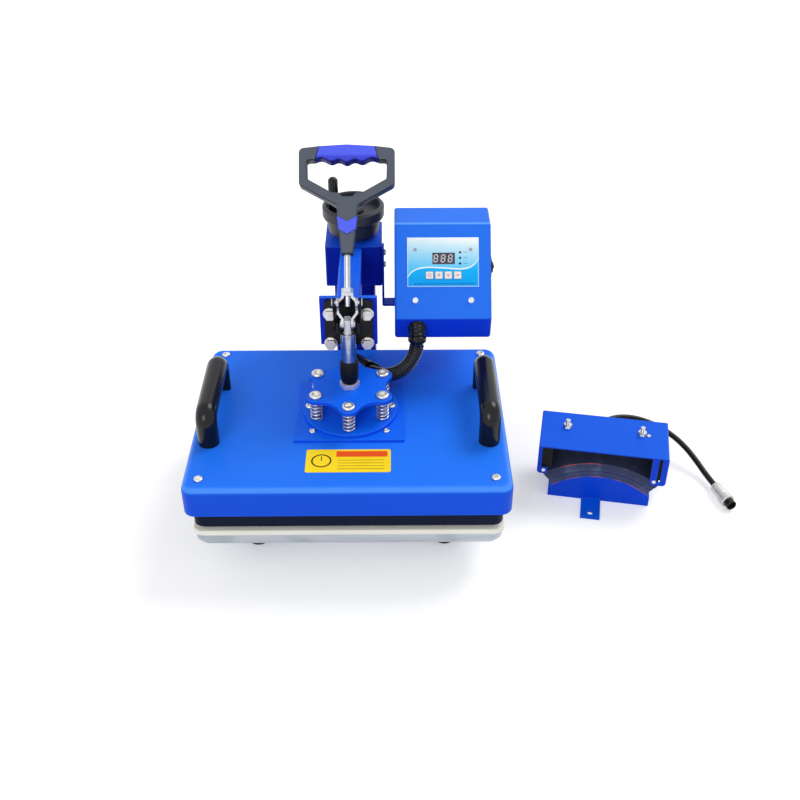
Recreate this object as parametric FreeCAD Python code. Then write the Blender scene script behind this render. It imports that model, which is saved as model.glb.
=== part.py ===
import FreeCAD, Part
import math
import os

V = FreeCAD.Vector
UP = V(0, 0, 1)
FRONT = V(0, -1, 0)
BACK = V(0, 1, 0)
RIGHT = V(1, 0, 0)
ORIGIN = V(0, 0, 0)

# All lengths are millimetres. X is to the right, Y to the back, Z up.
# The origin is the middle of the silicone pad's top face.

# Clearances and cuts
overrun = 2.0
bolt_clearance = 0.2
run_clearance = 0.08
seat_gap = 0.3
rest_gap = 0.4

# Feet and base frame
foot_radius = 15.0
foot_height = 14.0
foot_edge = 2.5
foot_inset = 22.0
skid_spacing = 242.0
skid_width = 34.0
skid_height = 30.0
skid_wall = 2.5
skid_front = 106.0
skid_tail = 4.0
front_bar_depth = 40.0
front_bar_inset = 30.0
rear_bar_depth = 96.0

# Column and the post that the arm turns on
column_gap = 16.0
column_shift = 3.0
column_width = 56.0
column_corner = 8.0
column_wall = 4.0
column_cap = 6.0
column_foot_width = 90.0
column_foot_thickness = 6.0
column_bolt_spacing = 72.0
post_radius = 18.0
base_bolt_radius = 4.0
base_bolt_flats = 13.0
base_bolt_head = 5.5

# Lower platen and pad
tray_width = 380.0
tray_depth = 290.0
tray_corner = 14.0
tray_plate = 12.0
tray_step = 6.0
tray_step_inset = 5.0
tray_bolt_pitch = 180.0
tray_bolt_counterbore = 8.0
pad_overhang_x = 2.0
pad_overhang_y = 1.0
pad_corner = 12.0
pad_thickness = 8.0

# Heat platen and cover
press_gap = 2.0
platen_width = 380.0
platen_depth = 290.0
platen_corner = 13.0
platen_thickness = 33.0
platen_reveal = 29.0
platen_chamfer = 5.0
boss_radius = 6.0
cover_overhang = 9.0
cover_height = 41.5
cover_corner = 15.0
cover_edge = 9.5
cover_wall = 2.0
cover_screw_inset_x = 21.0
cover_screw_inset_y = 19.5
element_radius = 4.0
element_inset = 60.0
element_inner_bend = 25.0
element_outer_bend = 40.0
insulation_inset_x = 22.0
insulation_inset_y = 21.0
insulation_thickness = 22.0
insulation_hole_gap = 1.0

# Square plate, spring disc and star plate on the cover
plate_width = 138.0
plate_depth = 128.0
plate_thickness = 4.0
plate_edge = 1.0
plate_screw_spacing = 93.0
disc_radius = 61.0
disc_thickness = 5.0
disc_edge = 1.2
disc_bolt_offset = 52.5
spring_space = 28.5
spring_radius = 7.0
spring_wire_radius = 1.1
spring_turns = 4.5
spring_lead_angle = 32.0
spring_lead_rise = 3.2
star_thickness = 5.0
star_bolt_circle = 48.5
star_lobe_radius = 12.0
star_valley_circle = 75.0
star_bolt_count = 6
star_bolt_radius = 4.0
star_edge = 0.8
screw_radius = 2.5
screw_head_radius = 5.6
screw_head_height = 3.2
screw_length = 24.0
plate_screw_head_radius = 4.2
plate_screw_head_height = 2.6
star_head_radius = 8.2
star_head_height = 3.8
socket_share = 0.46
socket_depth_share = 0.55

# Side handles
handle_inset = 24.0
handle_span = 123.0
handle_center = -3.5
handle_width = 26.0
handle_crown = 10.0
handle_depth = 8.0
handle_edge = 3.0
handle_rise = 44.5
handle_bend = 15.0

# Plunger, coupler and guide barrel
plunger_radius = 6.0
plunger_travel = 6.0
tang_thickness = 8.0
tang_rise = 7.5
nut_height = 7.0
nut_flats = 22.0
coupler_radius = 12.0
coupler_height = 32.0
coupler_foot_radius = 10.0
coupler_neck_radius = 11.2
coupler_belly_share = 0.65
coupler_edge = 1.5
coupler_gap = 0.5
barrel_radius = 9.5
barrel_length = 40.0
lever_pin_radius = 3.0
lever_pin_rise = 12.5
lever_pin_head_radius = 4.6
lever_pin_head = 1.2

# Flange, toggle body and arm
flange_setback = 30.0
flange_rise = 3.5
flange_width = 72.0
flange_height = 68.0
flange_thickness = 6.0
toggle_plate_width = 60.0
toggle_plate_height = 64.0
toggle_plate_thickness = 4.0
toggle_corner = 5.0
toggle_web = 12.0
toggle_web_height = 32.0
toggle_nut_flats = 13.0
toggle_bolt_gap = 0.2
toggle_bolt_spacing_z = 43.0
toggle_bolt_rise = 5.0
toggle_nut_turn = 30.0
toggle_bolt_radius = 4.0
toggle_bolt_flats = 13.0
toggle_bolt_head = 5.0
toggle_washer_radius = 8.4
toggle_washer = 1.6
ear_inner = 11.6
ear_thickness = 3.1
ear_height = 15.0
ear_nose = 6.0
link_setback = 8.0
link_drop = 8.0
link_pin_radius = 3.0
link_thickness = 2.0
link_width = 13.0
link_gap = 0.4
link_slack = 1.6
arm_width = 29.0
arm_height = 48.0
arm_wall = 3.0

# Sleeve, thrust collar, handwheel and peg
sleeve_width = 76.0
sleeve_height = 59.0
sleeve_rise = 2.0
sleeve_gap = 4.0
sleeve_roof = 8.0
sleeve_corner = 3.0
post_headroom = 3.0
collar_radius = 22.0
collar_height = 5.4
stem_radius = 8.0
stem_engagement = 40.0
stem_hole_gap = 0.5
wheel_radius = 41.5
wheel_height = 40.0
wheel_rim_height = 18.0
wheel_skirt_radius = 34.0
wheel_recess = 11.0
wheel_lip = 6.0
wheel_hub_radius = 14.0
wheel_hub_rise = 4.0
wheel_edge = 3.0
wheel_nut_flats = 20.0
wheel_nut_height = 6.0
peg_offset = 26.0
peg_radius = 6.6
peg_height = 48.0
peg_pin_radius = 3.5
peg_pin_share = 0.62

# Lever fork, rod and grip
link_reach = 30.0
fork_thickness = 3.0
fork_width = 12.0
fork_foot = 6.0
fork_foot_rise = 5.0
fork_belly = 11.6
fork_belly_bottom = 12.5
fork_belly_top = 26.0
fork_neck = 5.7
fork_neck_rise = 32.0
fork_top_rise = 33.5
fork_lug_rise = 20.0
lever_lean = 38.0
fork_bridge = 4.0
fork_pin_radius = 2.6
fork_pin_head_radius = 5.4
fork_pin_head = 1.2
rod_radius = 4.0
rod_nut_flats = 13.0
rod_nut_height = 6.0
rod_tail = 13.0
rod_socket = 26.0
grip_rise = 84.5
grip_width = 117.6
grip_height = 134.5
grip_depth = 20.0
grip_edge = 3.0
grip_outer_shares = [(0.0608, 0.0), (0.0863, 0.2253), (0.1016, 0.3472), (0.107, 0.433), (0.130, 0.4535),
                     (0.5, 0.632), (0.5, 0.968), (0.29, 0.989)]
grip_inner_shares = [(0.0545, 0.5286), (0.097, 0.563), (0.164, 0.5665), (0.4115, 0.688), (0.4167, 0.857)]
soft_grip_wave_shares = [(0.335, 0.859), (0.26, 0.879), (0.1625, 0.835), (0.0825, 0.8655), (0.0, 0.826)]
soft_grip_top_shares = [(0.2925, 0.989), (0.0, 1.004)]
soft_grip_core_shares = [0.896, 0.966]
soft_grip_proud = 0.6
soft_grip_round = 2.0
soft_grip_wall = 1.4
chevron_top_share = 0.3472
chevron_height_share = 0.1219
chevron_dip_share = 0.049
chevron_proud = 0.6
neck_core_radius = 6.4

# Control box: a level roof, a face that leans back and an upright chin
box_left = 58.0
box_width = 126.0
box_sleeve_lap = 32.5
box_roof_rise = 197.0
box_roof_depth = 46.5
box_face_length = 125.5
box_face_tilt = 38.4
box_chin_height = 32.3
box_chin_undercut = 5.2
box_wall = 1.6
box_edge = 4.2
box_rim = 3.8
box_back_thickness = 1.6
bracket_thickness = 3.0
bracket_depth = 18.0
bracket_inset = 1.0
bracket_shelf_length = 50.0
bracket_top_margin = 4.0
bracket_screw_pitch = 18.0
box_screw_radius = 2.0
box_screw_head_radius = 4.0
box_screw_head = 2.4
box_screw_spacing = 72.4
box_screw_drop = 101.0
box_screw_length = 8.0
panel_screw_head_radius = 2.2
panel_screw_head = 1.0
panel_screw_spacing = 72.2
panel_screw_drop = 34.6
panel_width = 93.2
panel_height = 64.6
panel_drop = 18.7
panel_thickness = 0.8
display_width = 29.0
display_height = 14.8
display_drop = 38.8
display_shift = 0.8
display_proud = 0.3
led_radius = 1.5
led_shift = 22.2
led_drop = 45.6
led_pitch = 7.3
led_count = 3
key_width = 9.5
key_pitch = 12.2
key_shift = 0.6
key_drop = 68.2
key_proud = 1.3
key_edge = 0.5
key_gap = 0.4
key_travel = 0.8
key_count = 4
board_setback = 10.0
board_thickness = 1.6
board_margin = 4.0
board_post_radius = 3.0
switch_rise = 77.3
switch_setback = 52.7
switch_width = 13.0
switch_length = 19.0
switch_bezel = 2.0
switch_proud = 1.4
switch_depth = 7.5
rocker_gap = 0.4
rocker_radius = 8.4
rocker_tilt = 9.0
inlet_width = 28.0
inlet_height = 22.0
inlet_wall = 2.5
inlet_depth = 16.0
inlet_flange = 3.0
inlet_pin = 2.0
inlet_pin_length = 7.0
inlet_rise = 40.0
inlet_shift = 30.0
socket_radius = 9.0
socket_bore = 6.6
socket_length = 14.0
socket_floor = 3.0
socket_rise = 85.0
socket_shift = 30.0
gland_shift = 29.0
gland_rise = 19.0
gland_radius = 12.3
gland_reach = 13.5
gland_neck_radius = 9.0
gland_length = 10.0
gland_groove = 1.2
gland_collar = 4.0
gland_collar_radius = 11.0

# Ribbed conduit between the control box and the cover
hose_radius = 9.5
hose_valley = 8.3
hose_bore = 6.8
hose_ribs = 48
hose_lead = 30.0
hose_tail = 60.0
elbow_x = 8.0
elbow_inset = 71.0
elbow_rise = 15.5
elbow_turn = -40.0
elbow_radius = 14.0
elbow_reach = 18.0
elbow_floor = 4.0
elbow_stem_radius = 11.0
hose_float = 2.2
hose_insert = 9.0
sleeve_lead_radius = 4.4
sleeve_lead_x = 4.0
sleeve_lead_inset = 30.0
sleeve_lead_end_x = 34.0
sleeve_lead_end_inset = 57.0
sleeve_lead_tip = 12.0
sleeve_lead_tip_radius = 1.6

# Cap tool, in its own frame, standing on the floor beside the press
tool_x = 341.0
tool_y = 24.0
tool_turn = -10.5
form_length = 136.0
form_depth = 74.0
form_apex = 41.0
form_end = 15.0
form_wall = 3.0
form_front_inset = 2.0
tab_width = 26.0
tab_length = 40.0
tab_shift = -9.0
tab_thickness = 3.0
tab_hole_radius = 4.0
tab_hole_inset = 10.0
form_pad_thickness = 9.0
heater_thickness = 6.0
backing_thickness = 8.0
stack_half_angle = 38.0
stack_depth = 72.0
head_width = 171.0
head_depth = 81.0
head_height = 85.0
head_wall_height = 46.0
head_sheet = 2.0
head_flange = 12.0
head_flange_corner = 5.0
head_flange_hole_radius = 2.2
head_flange_hole_rise = 6.0
head_flange_hole_inset = 5.4
head_slot_flange = 19.0
head_slot_width = 4.8
head_slot_inset = 5.8
head_slot_rise = 5.0
head_rim = 3.2
head_rim_rise = 10.0
head_edge = 2.5
stud_spacing = 100.0
stud_shift = 8.0
stud_radius = 3.0
stud_tail = 12.0
stud_nut_flats = 10.0
stud_nut_height = 5.0
stud_seat = 3.0
head_hole_radius = 1.8
head_hole_shift = 8.8
head_hole_drop = 2.0
head_rivet_radius = 2.6
head_rivet_height = 1.5

# Cord of the cap tool
cord_radius = 4.0
cord_gland_radius = 6.5
cord_gland_length = 7.0
cord_runs = [
    V(352.6, 86.4, -9.6), V(367.0, 105.6, -10.5), V(388.6, 116.1, -13.0), V(412.6, 116.1, -18.0),
    V(435.9, 107.2, -25.5), V(455.6, 91.8, -34.5), V(471.4, 72.3, -44.5), V(483.5, 50.5, -54.0),
    V(492.4, 27.1, -60.8), V(499.1, 4.1, -60.8),
]
cord_arc_share = 0.45
connector_grip_radius = 7.5
connector_grip_length = 22.0
connector_nut_radius = 9.0
connector_nut_length = 12.0
connector_nose_radius = 7.0
connector_nose_length = 9.0
connector_bore_radius = 5.6
connector_bore_depth = 6.0
connector_edge = 0.8

# Widths and depths that follow the platen, and places that follow the cover and the column
pad_width = tray_width + 2 * pad_overhang_x
pad_depth = tray_depth + 2 * pad_overhang_y
cover_width = platen_width + 2 * cover_overhang
cover_depth = platen_depth + 2 * cover_overhang
cover_screw_spacing_x = cover_width - 2 * cover_screw_inset_x
cover_screw_spacing_y = cover_depth - 2 * cover_screw_inset_y
element_run = platen_width - 2 * element_inset
insulation_width = platen_width - 2 * insulation_inset_x
insulation_depth = platen_depth - 2 * insulation_inset_y
handle_spacing = cover_width - 2 * handle_inset
elbow_y = cover_depth / 2 - elbow_inset
sleeve_lead_start = V(sleeve_lead_x, cover_depth / 2 - sleeve_lead_inset, 0)
sleeve_lead_end = V(sleeve_lead_end_x, cover_depth / 2 - sleeve_lead_end_inset, 0)
column_setback = (cover_depth + column_width) / 2 + column_gap
skid_back = column_setback + rear_bar_depth / 2 + skid_tail

# Heights, stacked up from the floor to the grip
tray_top = -pad_thickness
frame_top = tray_top - tray_plate - tray_step
skid_bottom = frame_top - skid_height
floor_z = skid_bottom - foot_height
platen_bottom = press_gap
platen_top = platen_bottom + platen_thickness
cover_bottom = platen_bottom + platen_reveal
cover_top = cover_bottom + cover_height
cover_roof = cover_top - cover_wall
plate_top = cover_top + plate_thickness
disc_top = plate_top + disc_thickness
star_bottom = disc_top + spring_space
star_top = star_bottom + star_thickness
nut_top = star_top + nut_height
coupler_top = nut_top + coupler_height
barrel_bottom = coupler_top + coupler_gap
barrel_top = barrel_bottom + barrel_length
lever_pin_z = barrel_top + lever_pin_rise
flange_bottom = barrel_bottom + flange_rise
arm_top = flange_bottom + flange_height
sleeve_top = arm_top + sleeve_rise
sleeve_bottom = sleeve_top - sleeve_height
column_top = sleeve_bottom - sleeve_gap
post_top = sleeve_top - sleeve_roof - post_headroom
collar_bottom = sleeve_top + seat_gap
wheel_bottom = collar_bottom + collar_height + seat_gap
wheel_top = wheel_bottom + wheel_height
wheel_floor = wheel_top - wheel_recess
grip_bottom = lever_pin_z + grip_rise
box_center = box_left + box_width / 2
sleeve_side = column_shift + sleeve_width / 2
sleeve_front = column_setback - sleeve_width / 2
box_roof = cover_top + box_roof_rise
box_back = sleeve_front + box_sleeve_lap
box_brow = box_back - box_roof_depth
box_fold_y = box_brow - box_face_length * math.sin(math.radians(box_face_tilt))
box_fold_z = box_roof - box_face_length * math.cos(math.radians(box_face_tilt))
box_bottom = box_fold_z - box_chin_height
box_toe = box_fold_y + box_chin_undercut


def block(x_low, x_high, y_low, y_high, z_low, z_high):
    size = V(x_high - x_low, y_high - y_low, z_high - z_low)
    return Part.makeBox(size.x, size.y, size.z, V(x_low, y_low, z_low))


def rod(start, axis, radius, length):
    return Part.makeCylinder(radius, length, start, axis)


def ring(start, axis, outer, inner, length):
    bore = rod(start - axis * overrun, axis, inner, length + 2 * overrun)
    return rod(start, axis, outer, length).cut(bore)


def placed(shape, point, axis):
    # Moves a shape made at the origin along +Z to a point, along an axis.
    moved = shape.copy()
    moved.Placement = FreeCAD.Placement(point, FreeCAD.Rotation(UP, axis))
    return moved


def hexagon(flats, height, turn=0.0):
    corner = flats / math.sqrt(3)
    angles = [math.radians(60 * k + turn) for k in range(7)]
    points = [V(corner * math.cos(angle), corner * math.sin(angle), 0) for angle in angles]
    return Part.Face(Part.makePolygon(points)).extrude(UP * height)


def hex_nut(flats, height, bore, turn=0.0):
    return hexagon(flats, height, turn).cut(rod(-UP * overrun, UP, bore, height + 2 * overrun))


def rounded_rectangle(width, depth, corner):
    # Outline in the XY plane, centred on the origin.
    x = width / 2
    y = depth / 2
    far = corner * math.sqrt(0.5)
    edges = []
    for sx, sy, turn in ((1, 1, 1), (-1, 1, -1), (-1, -1, 1), (1, -1, -1)):
        center = V(sx * (x - corner), sy * (y - corner), 0)
        first = center + V(sx * corner, 0, 0)
        last = center + V(0, sy * corner, 0)
        middle = center + V(sx * far, sy * far, 0)
        if turn < 0:
            first, last = last, first
        edges.append((first, middle, last))
    loop = []
    for k in range(4):
        first, middle, last = edges[k]
        loop.append(Part.Arc(first, middle, last).toShape())
        loop.append(Part.LineSegment(last, edges[(k + 1) % 4][0]).toShape())
    return Part.Wire(loop)


def slab(width, depth, corner, z_low, z_high, x_mid=0.0, y_mid=0.0):
    face = Part.Face(rounded_rectangle(width, depth, corner))
    return face.extrude(UP * (z_high - z_low)).translated(V(x_mid, y_mid, z_low))


def outline(points, plane):
    # Turns pairs of numbers into points of a plane: xy, xz or yz.
    if plane == "xy":
        return [V(a, b, 0) for a, b in points]
    if plane == "xz":
        return [V(a, 0, b) for a, b in points]
    return [V(0, a, b) for a, b in points]


def prism(points, plane, low, high):
    normal = {"xy": UP, "xz": BACK, "yz": RIGHT}[plane]
    corners = outline(points, plane)
    face = Part.Face(Part.makePolygon(corners + corners[:1]))
    return face.extrude(normal * (high - low)).translated(normal * low)


def folded(points, thickness, plane, low, high):
    # A sheet of even thickness folded along a line of points.
    left = []
    right = []
    count = len(points)
    for k in range(count):
        before = points[max(k - 1, 0)]
        here = points[k]
        after = points[min(k + 1, count - 1)]
        normals = []
        for a, b in ((before, here), (here, after)):
            run = math.hypot(b[0] - a[0], b[1] - a[1])
            if run > 0:
                normals.append(((a[1] - b[1]) / run, (b[0] - a[0]) / run))
        n = (sum(m[0] for m in normals), sum(m[1] for m in normals))
        size = math.hypot(n[0], n[1])
        n = (n[0] / size, n[1] / size)
        reach = thickness / 2 / (n[0] * normals[0][0] + n[1] * normals[0][1])
        left.append((here[0] + n[0] * reach, here[1] + n[1] * reach))
        right.append((here[0] - n[0] * reach, here[1] - n[1] * reach))
    return prism(left + right[::-1], plane, low, high)


def mirrored(shape):
    return shape.mirror(ORIGIN, RIGHT)


def edges_along(shape, axis):
    found = []
    for edge in shape.Edges:
        if len(edge.Vertexes) == 2 and isinstance(edge.Curve, Part.Line):
            direction = edge.Vertexes[1].Point - edge.Vertexes[0].Point
            if direction.normalize().cross(axis).Length < 1e-6:
                found.append(edge)
    return found


def edges_at(shape, z):
    return [e for e in shape.Edges if abs(e.BoundBox.ZMin - z) < 1e-6 and abs(e.BoundBox.ZMax - z) < 1e-6]


def socket_screw(head_radius, head_height, shank_radius, shank_length):
    # Button head above the origin, shank below, along +Z.
    head = rod(ORIGIN, UP, head_radius, head_height)
    head = head.makeFillet(head_height * socket_depth_share, edges_at(head, head_height))
    depth = head_height * socket_depth_share
    socket = hexagon(head_radius * 2 * socket_share, depth + overrun).translated(UP * (head_height - depth))
    shank = rod(-UP * shank_length, UP, shank_radius, shank_length)
    return head.cut(socket).fuse(shank)


def save(name, solids):
    shape = solids[0] if len(solids) == 1 else Part.makeCompound(solids)
    count = len(shape.Solids)
    if not shape.isValid() or count == 0:
        print("bad shape", name)
    shape.exportStep("parts/" + name + ".step")
    print(name, count, "solids", round(shape.Volume), "mm3")


def corners(spacing_x, spacing_y, x_mid=0.0, y_mid=0.0):
    return [(x_mid + sx * spacing_x / 2, y_mid + sy * spacing_y / 2) for sx in (-1, 1) for sy in (-1, 1)]


# Base

def foot_places():
    middle = (skid_back - skid_front) / 2
    return corners(skid_spacing, skid_front + skid_back - 2 * foot_inset, 0.0, middle)


def base_skids():
    skids = []
    for side in (-1, 1):
        x = side * skid_spacing / 2
        tube = block(x - skid_width / 2, x + skid_width / 2, -skid_front, skid_back, skid_bottom, frame_top)
        hollow = block(x - skid_width / 2 + skid_wall, x + skid_width / 2 - skid_wall, -skid_front - overrun,
                       skid_back + overrun, skid_bottom + skid_wall, frame_top - skid_wall)
        holes = [rod(V(px, py, frame_top - 2 * skid_wall), UP, base_bolt_radius + bolt_clearance, 3 * skid_wall)
                 for px, py in tray_bolt_places()]
        skids.append(tube.cut([hollow] + holes))
    return skids


def base_crossbars():
    inner = skid_spacing / 2 - skid_width / 2
    front = -skid_front + front_bar_inset
    rear = column_setback - rear_bar_depth / 2
    bars = []
    for low, depth in ((front, front_bar_depth), (rear, rear_bar_depth)):
        bar = block(-inner, inner, low, low + depth, skid_bottom, frame_top)
        hollow = block(-inner - overrun, inner + overrun, low + skid_wall, low + depth - skid_wall,
                       skid_bottom + skid_wall, frame_top - skid_wall)
        bars.append(bar.cut(hollow))
    holes = [rod(V(x, y, frame_top - 2 * skid_wall), UP, base_bolt_radius + bolt_clearance, 3 * skid_wall)
             for x, y in column_bolt_places()]
    bars[1] = bars[1].cut(holes)
    return bars


def rubber_feet():
    feet = []
    for x, y in foot_places():
        foot = Part.makeCone(foot_radius, foot_radius - foot_edge, foot_height, V(x, y, floor_z), UP)
        feet.append(foot.makeFillet(foot_edge, edges_at(foot, floor_z)))
    return feet


def column_bolt_places():
    return corners(column_bolt_spacing, column_bolt_spacing, column_shift, column_setback)


def tray_bolt_places():
    return corners(skid_spacing, tray_bolt_pitch)


def column():
    foot_top = frame_top + column_foot_thickness
    flange = slab(column_foot_width, column_foot_width, column_corner, frame_top, foot_top, column_shift, column_setback)
    flange = flange.cut([rod(V(x, y, frame_top - overrun), UP, base_bolt_radius + bolt_clearance,
                             column_foot_thickness + 2 * overrun) for x, y in column_bolt_places()])
    inner_corner = max(column_corner - column_wall, column_wall / 2)
    inner_width = column_width - 2 * column_wall
    tube = slab(column_width, column_width, column_corner, foot_top, column_top, column_shift, column_setback)
    tube = tube.cut(slab(inner_width, inner_width, inner_corner, frame_top, column_top - column_cap,
                         column_shift, column_setback))
    post = rod(V(column_shift, column_setback, column_top), UP, post_radius, post_top - column_top)
    thread = rod(V(column_shift, column_setback, post_top - stem_engagement), UP, stem_radius + run_clearance,
                 stem_engagement + overrun)
    return flange.fuse([tube, post]).cut(thread).removeSplitter()


def base_bolts():
    bolts = []
    for x, y in column_bolt_places():
        head = hexagon(base_bolt_flats, base_bolt_head)
        shank = rod(-UP * (column_foot_thickness + skid_wall), UP, base_bolt_radius,
                    column_foot_thickness + skid_wall)
        bolts.append(head.fuse(shank).translated(V(x, y, frame_top + column_foot_thickness)))
    for x, y in tray_bolt_places():
        length = tray_plate + tray_step - base_bolt_head + skid_wall
        screw = socket_screw(base_bolt_flats / 2, base_bolt_head - seat_gap, base_bolt_radius, length)
        bolts.append(screw.translated(V(x, y, tray_top - base_bolt_head)))
    return bolts


def lower_platen():
    step_top = frame_top + tray_step
    step = slab(tray_width - 2 * tray_step_inset, tray_depth - 2 * tray_step_inset, tray_corner - tray_step_inset / 2,
                frame_top, step_top)
    plate = slab(tray_width, tray_depth, tray_corner, step_top, tray_top)
    plate = plate.makeFillet(tray_step_inset / 2, edges_at(plate, step_top))
    body = plate.fuse(step).removeSplitter()
    holes = []
    for x, y in tray_bolt_places():
        holes.append(rod(V(x, y, frame_top - overrun), UP, base_bolt_radius + bolt_clearance, tray_plate + tray_step))
        holes.append(rod(V(x, y, tray_top - base_bolt_head), UP, tray_bolt_counterbore, base_bolt_head + overrun))
    return body.cut(holes)


def silicone_pad():
    return slab(pad_width, pad_depth, pad_corner, tray_top, 0.0)


# Heat platen and its cover

def cover_screw_places():
    return corners(cover_screw_spacing_x, cover_screw_spacing_y)


def plate_screw_places():
    return corners(plate_screw_spacing, plate_screw_spacing)


def star_bolt_places():
    step = 2 * math.pi / star_bolt_count
    return [(star_bolt_circle * math.cos(k * step - math.pi / 2), star_bolt_circle * math.sin(k * step - math.pi / 2))
            for k in range(star_bolt_count)]


def heat_platen():
    plate = slab(platen_width, platen_depth, platen_corner, platen_bottom, platen_top)
    plate = plate.makeChamfer(platen_chamfer, edges_at(plate, platen_bottom))
    bosses = []
    threads = []
    for x, y in cover_screw_places() + plate_screw_places():
        bosses.append(rod(V(x, y, platen_top), UP, boss_radius, cover_roof - platen_top))
        threads.append(rod(V(x, y, cover_roof - screw_length), UP, screw_radius + run_clearance,
                           screw_length + overrun))
    return plate.fuse(bosses).cut(threads).removeSplitter()


def heating_element():
    z = platen_top + element_radius
    half = element_run / 2
    rows = [-element_inner_bend - 2 * element_outer_bend, -element_inner_bend,
            element_inner_bend, element_inner_bend + 2 * element_outer_bend]
    edges = []
    side = 1
    for k, y in enumerate(rows):
        start = V(-side * half, y, z)
        end = V(side * half, y, z)
        edges.append(Part.LineSegment(start, end).toShape())
        if k + 1 < len(rows):
            bend = (rows[k + 1] - y) / 2
            far = V(side * (half + bend), y + bend, z)
            edges.append(Part.Arc(end, far, V(side * half, rows[k + 1], z)).toShape())
        side = -side
    profile = Part.Wire(Part.makeCircle(element_radius, V(-half, rows[0], z), RIGHT))
    return Part.Wire(edges).makePipeShell([profile], True, False)


def insulation():
    low = platen_top + 2 * element_radius + seat_gap
    blanket = slab(insulation_width, insulation_depth, cover_corner, low, low + insulation_thickness)
    return blanket.cut([rod(V(x, y, low - overrun), UP, boss_radius + insulation_hole_gap,
                            insulation_thickness + 2 * overrun) for x, y in plate_screw_places()])


def elbow_mouth():
    turn = math.radians(elbow_turn)
    return V(math.cos(turn), math.sin(turn), 0)


def top_cover():
    outer = slab(cover_width, cover_depth, cover_corner, cover_bottom, cover_top)
    outer = outer.makeFillet(cover_edge, edges_at(outer, cover_top))
    inner = slab(cover_width - 2 * cover_wall, cover_depth - 2 * cover_wall, cover_corner - cover_wall,
                 cover_bottom - overrun, cover_roof)
    inner = inner.makeFillet(cover_edge - cover_wall, edges_at(inner, cover_roof))
    holes = [rod(V(x, y, cover_roof - overrun), UP, screw_radius + bolt_clearance, cover_wall + 2 * overrun)
             for x, y in cover_screw_places() + plate_screw_places()]
    holes.append(rod(V(elbow_x, elbow_y, cover_roof - overrun), UP, hose_bore, cover_wall + 2 * overrun))
    return outer.cut(inner).cut(holes)


def square_plate():
    plate = block(-plate_width / 2, plate_width / 2, -plate_depth / 2, plate_depth / 2, cover_top, plate_top)
    plate = plate.makeFillet(plate_edge, edges_at(plate, plate_top))
    holes = [rod(V(x, y, cover_top - overrun), UP, screw_radius + bolt_clearance, plate_thickness + 2 * overrun)
             for x, y in plate_screw_places()]
    holes += [rod(V(x, 0, cover_top - overrun), UP, screw_radius + bolt_clearance, plate_thickness + 2 * overrun)
              for x in (-disc_bolt_offset, disc_bolt_offset)]
    return plate.cut(holes)


def spring_disc():
    disc = rod(V(0, 0, plate_top), UP, disc_radius, disc_thickness)
    disc = disc.makeFillet(disc_edge, edges_at(disc, disc_top))
    holes = [rod(V(x, y, plate_top - overrun), UP, star_bolt_radius + bolt_clearance, disc_thickness + 2 * overrun)
             for x, y in star_bolt_places()]
    holes += [rod(V(x, 0, plate_top - overrun), UP, screw_radius + bolt_clearance, disc_thickness + 2 * overrun)
              for x in (-disc_bolt_offset, disc_bolt_offset)]
    return disc.cut(holes)


def platen_screws():
    screws = []
    for x, y in cover_screw_places():
        screw = socket_screw(screw_head_radius, screw_head_height, screw_radius, screw_length)
        screws.append(screw.translated(V(x, y, cover_top)))
    for x, y in plate_screw_places():
        screw = socket_screw(plate_screw_head_radius, plate_screw_head_height, screw_radius, screw_length)
        screws.append(screw.translated(V(x, y, plate_top)))
    for x in (-disc_bolt_offset, disc_bolt_offset):
        screw = socket_screw(screw_head_radius, screw_head_height, screw_radius, disc_thickness + plate_thickness)
        screws.append(screw.translated(V(x, 0, disc_top)))
    return screws


def star_bolts():
    length = star_thickness + seat_gap + spring_space + disc_thickness
    return [socket_screw(star_head_radius, star_head_height, star_bolt_radius, length)
            .translated(V(x, y, star_top + seat_gap)) for x, y in star_bolt_places()]


def arc_from(start, tangent, end):
    # The arc that leaves start along a tangent and ends at end.
    chord = end - start
    length = chord.Length
    along = chord / length
    lean = tangent.dot(along)
    across = tangent - along * lean
    if across.Length < 1e-9:
        return Part.LineSegment(start, end).toShape()
    across.normalize()
    sagitta = length / 2 * math.tan(math.acos(max(-1.0, min(1.0, lean))) / 2)
    return Part.Arc(start, (start + end) / 2 + across * sagitta, end).toShape()


def biarc(start, start_way, end, end_way):
    # Two arcs that meet smoothly and keep both end directions.
    gap = end - start
    total = start_way + end_way
    bend = 2 * (1 - start_way.dot(end_way))
    push = gap.dot(total)
    reach = (-push + math.sqrt(push * push + bend * gap.dot(gap))) / bend
    joint = (start + end + (start_way - end_way) * reach) / 2
    first = arc_from(start, start_way, joint)
    second = arc_from(end, end_way * -1, joint)
    return [first, second]


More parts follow.
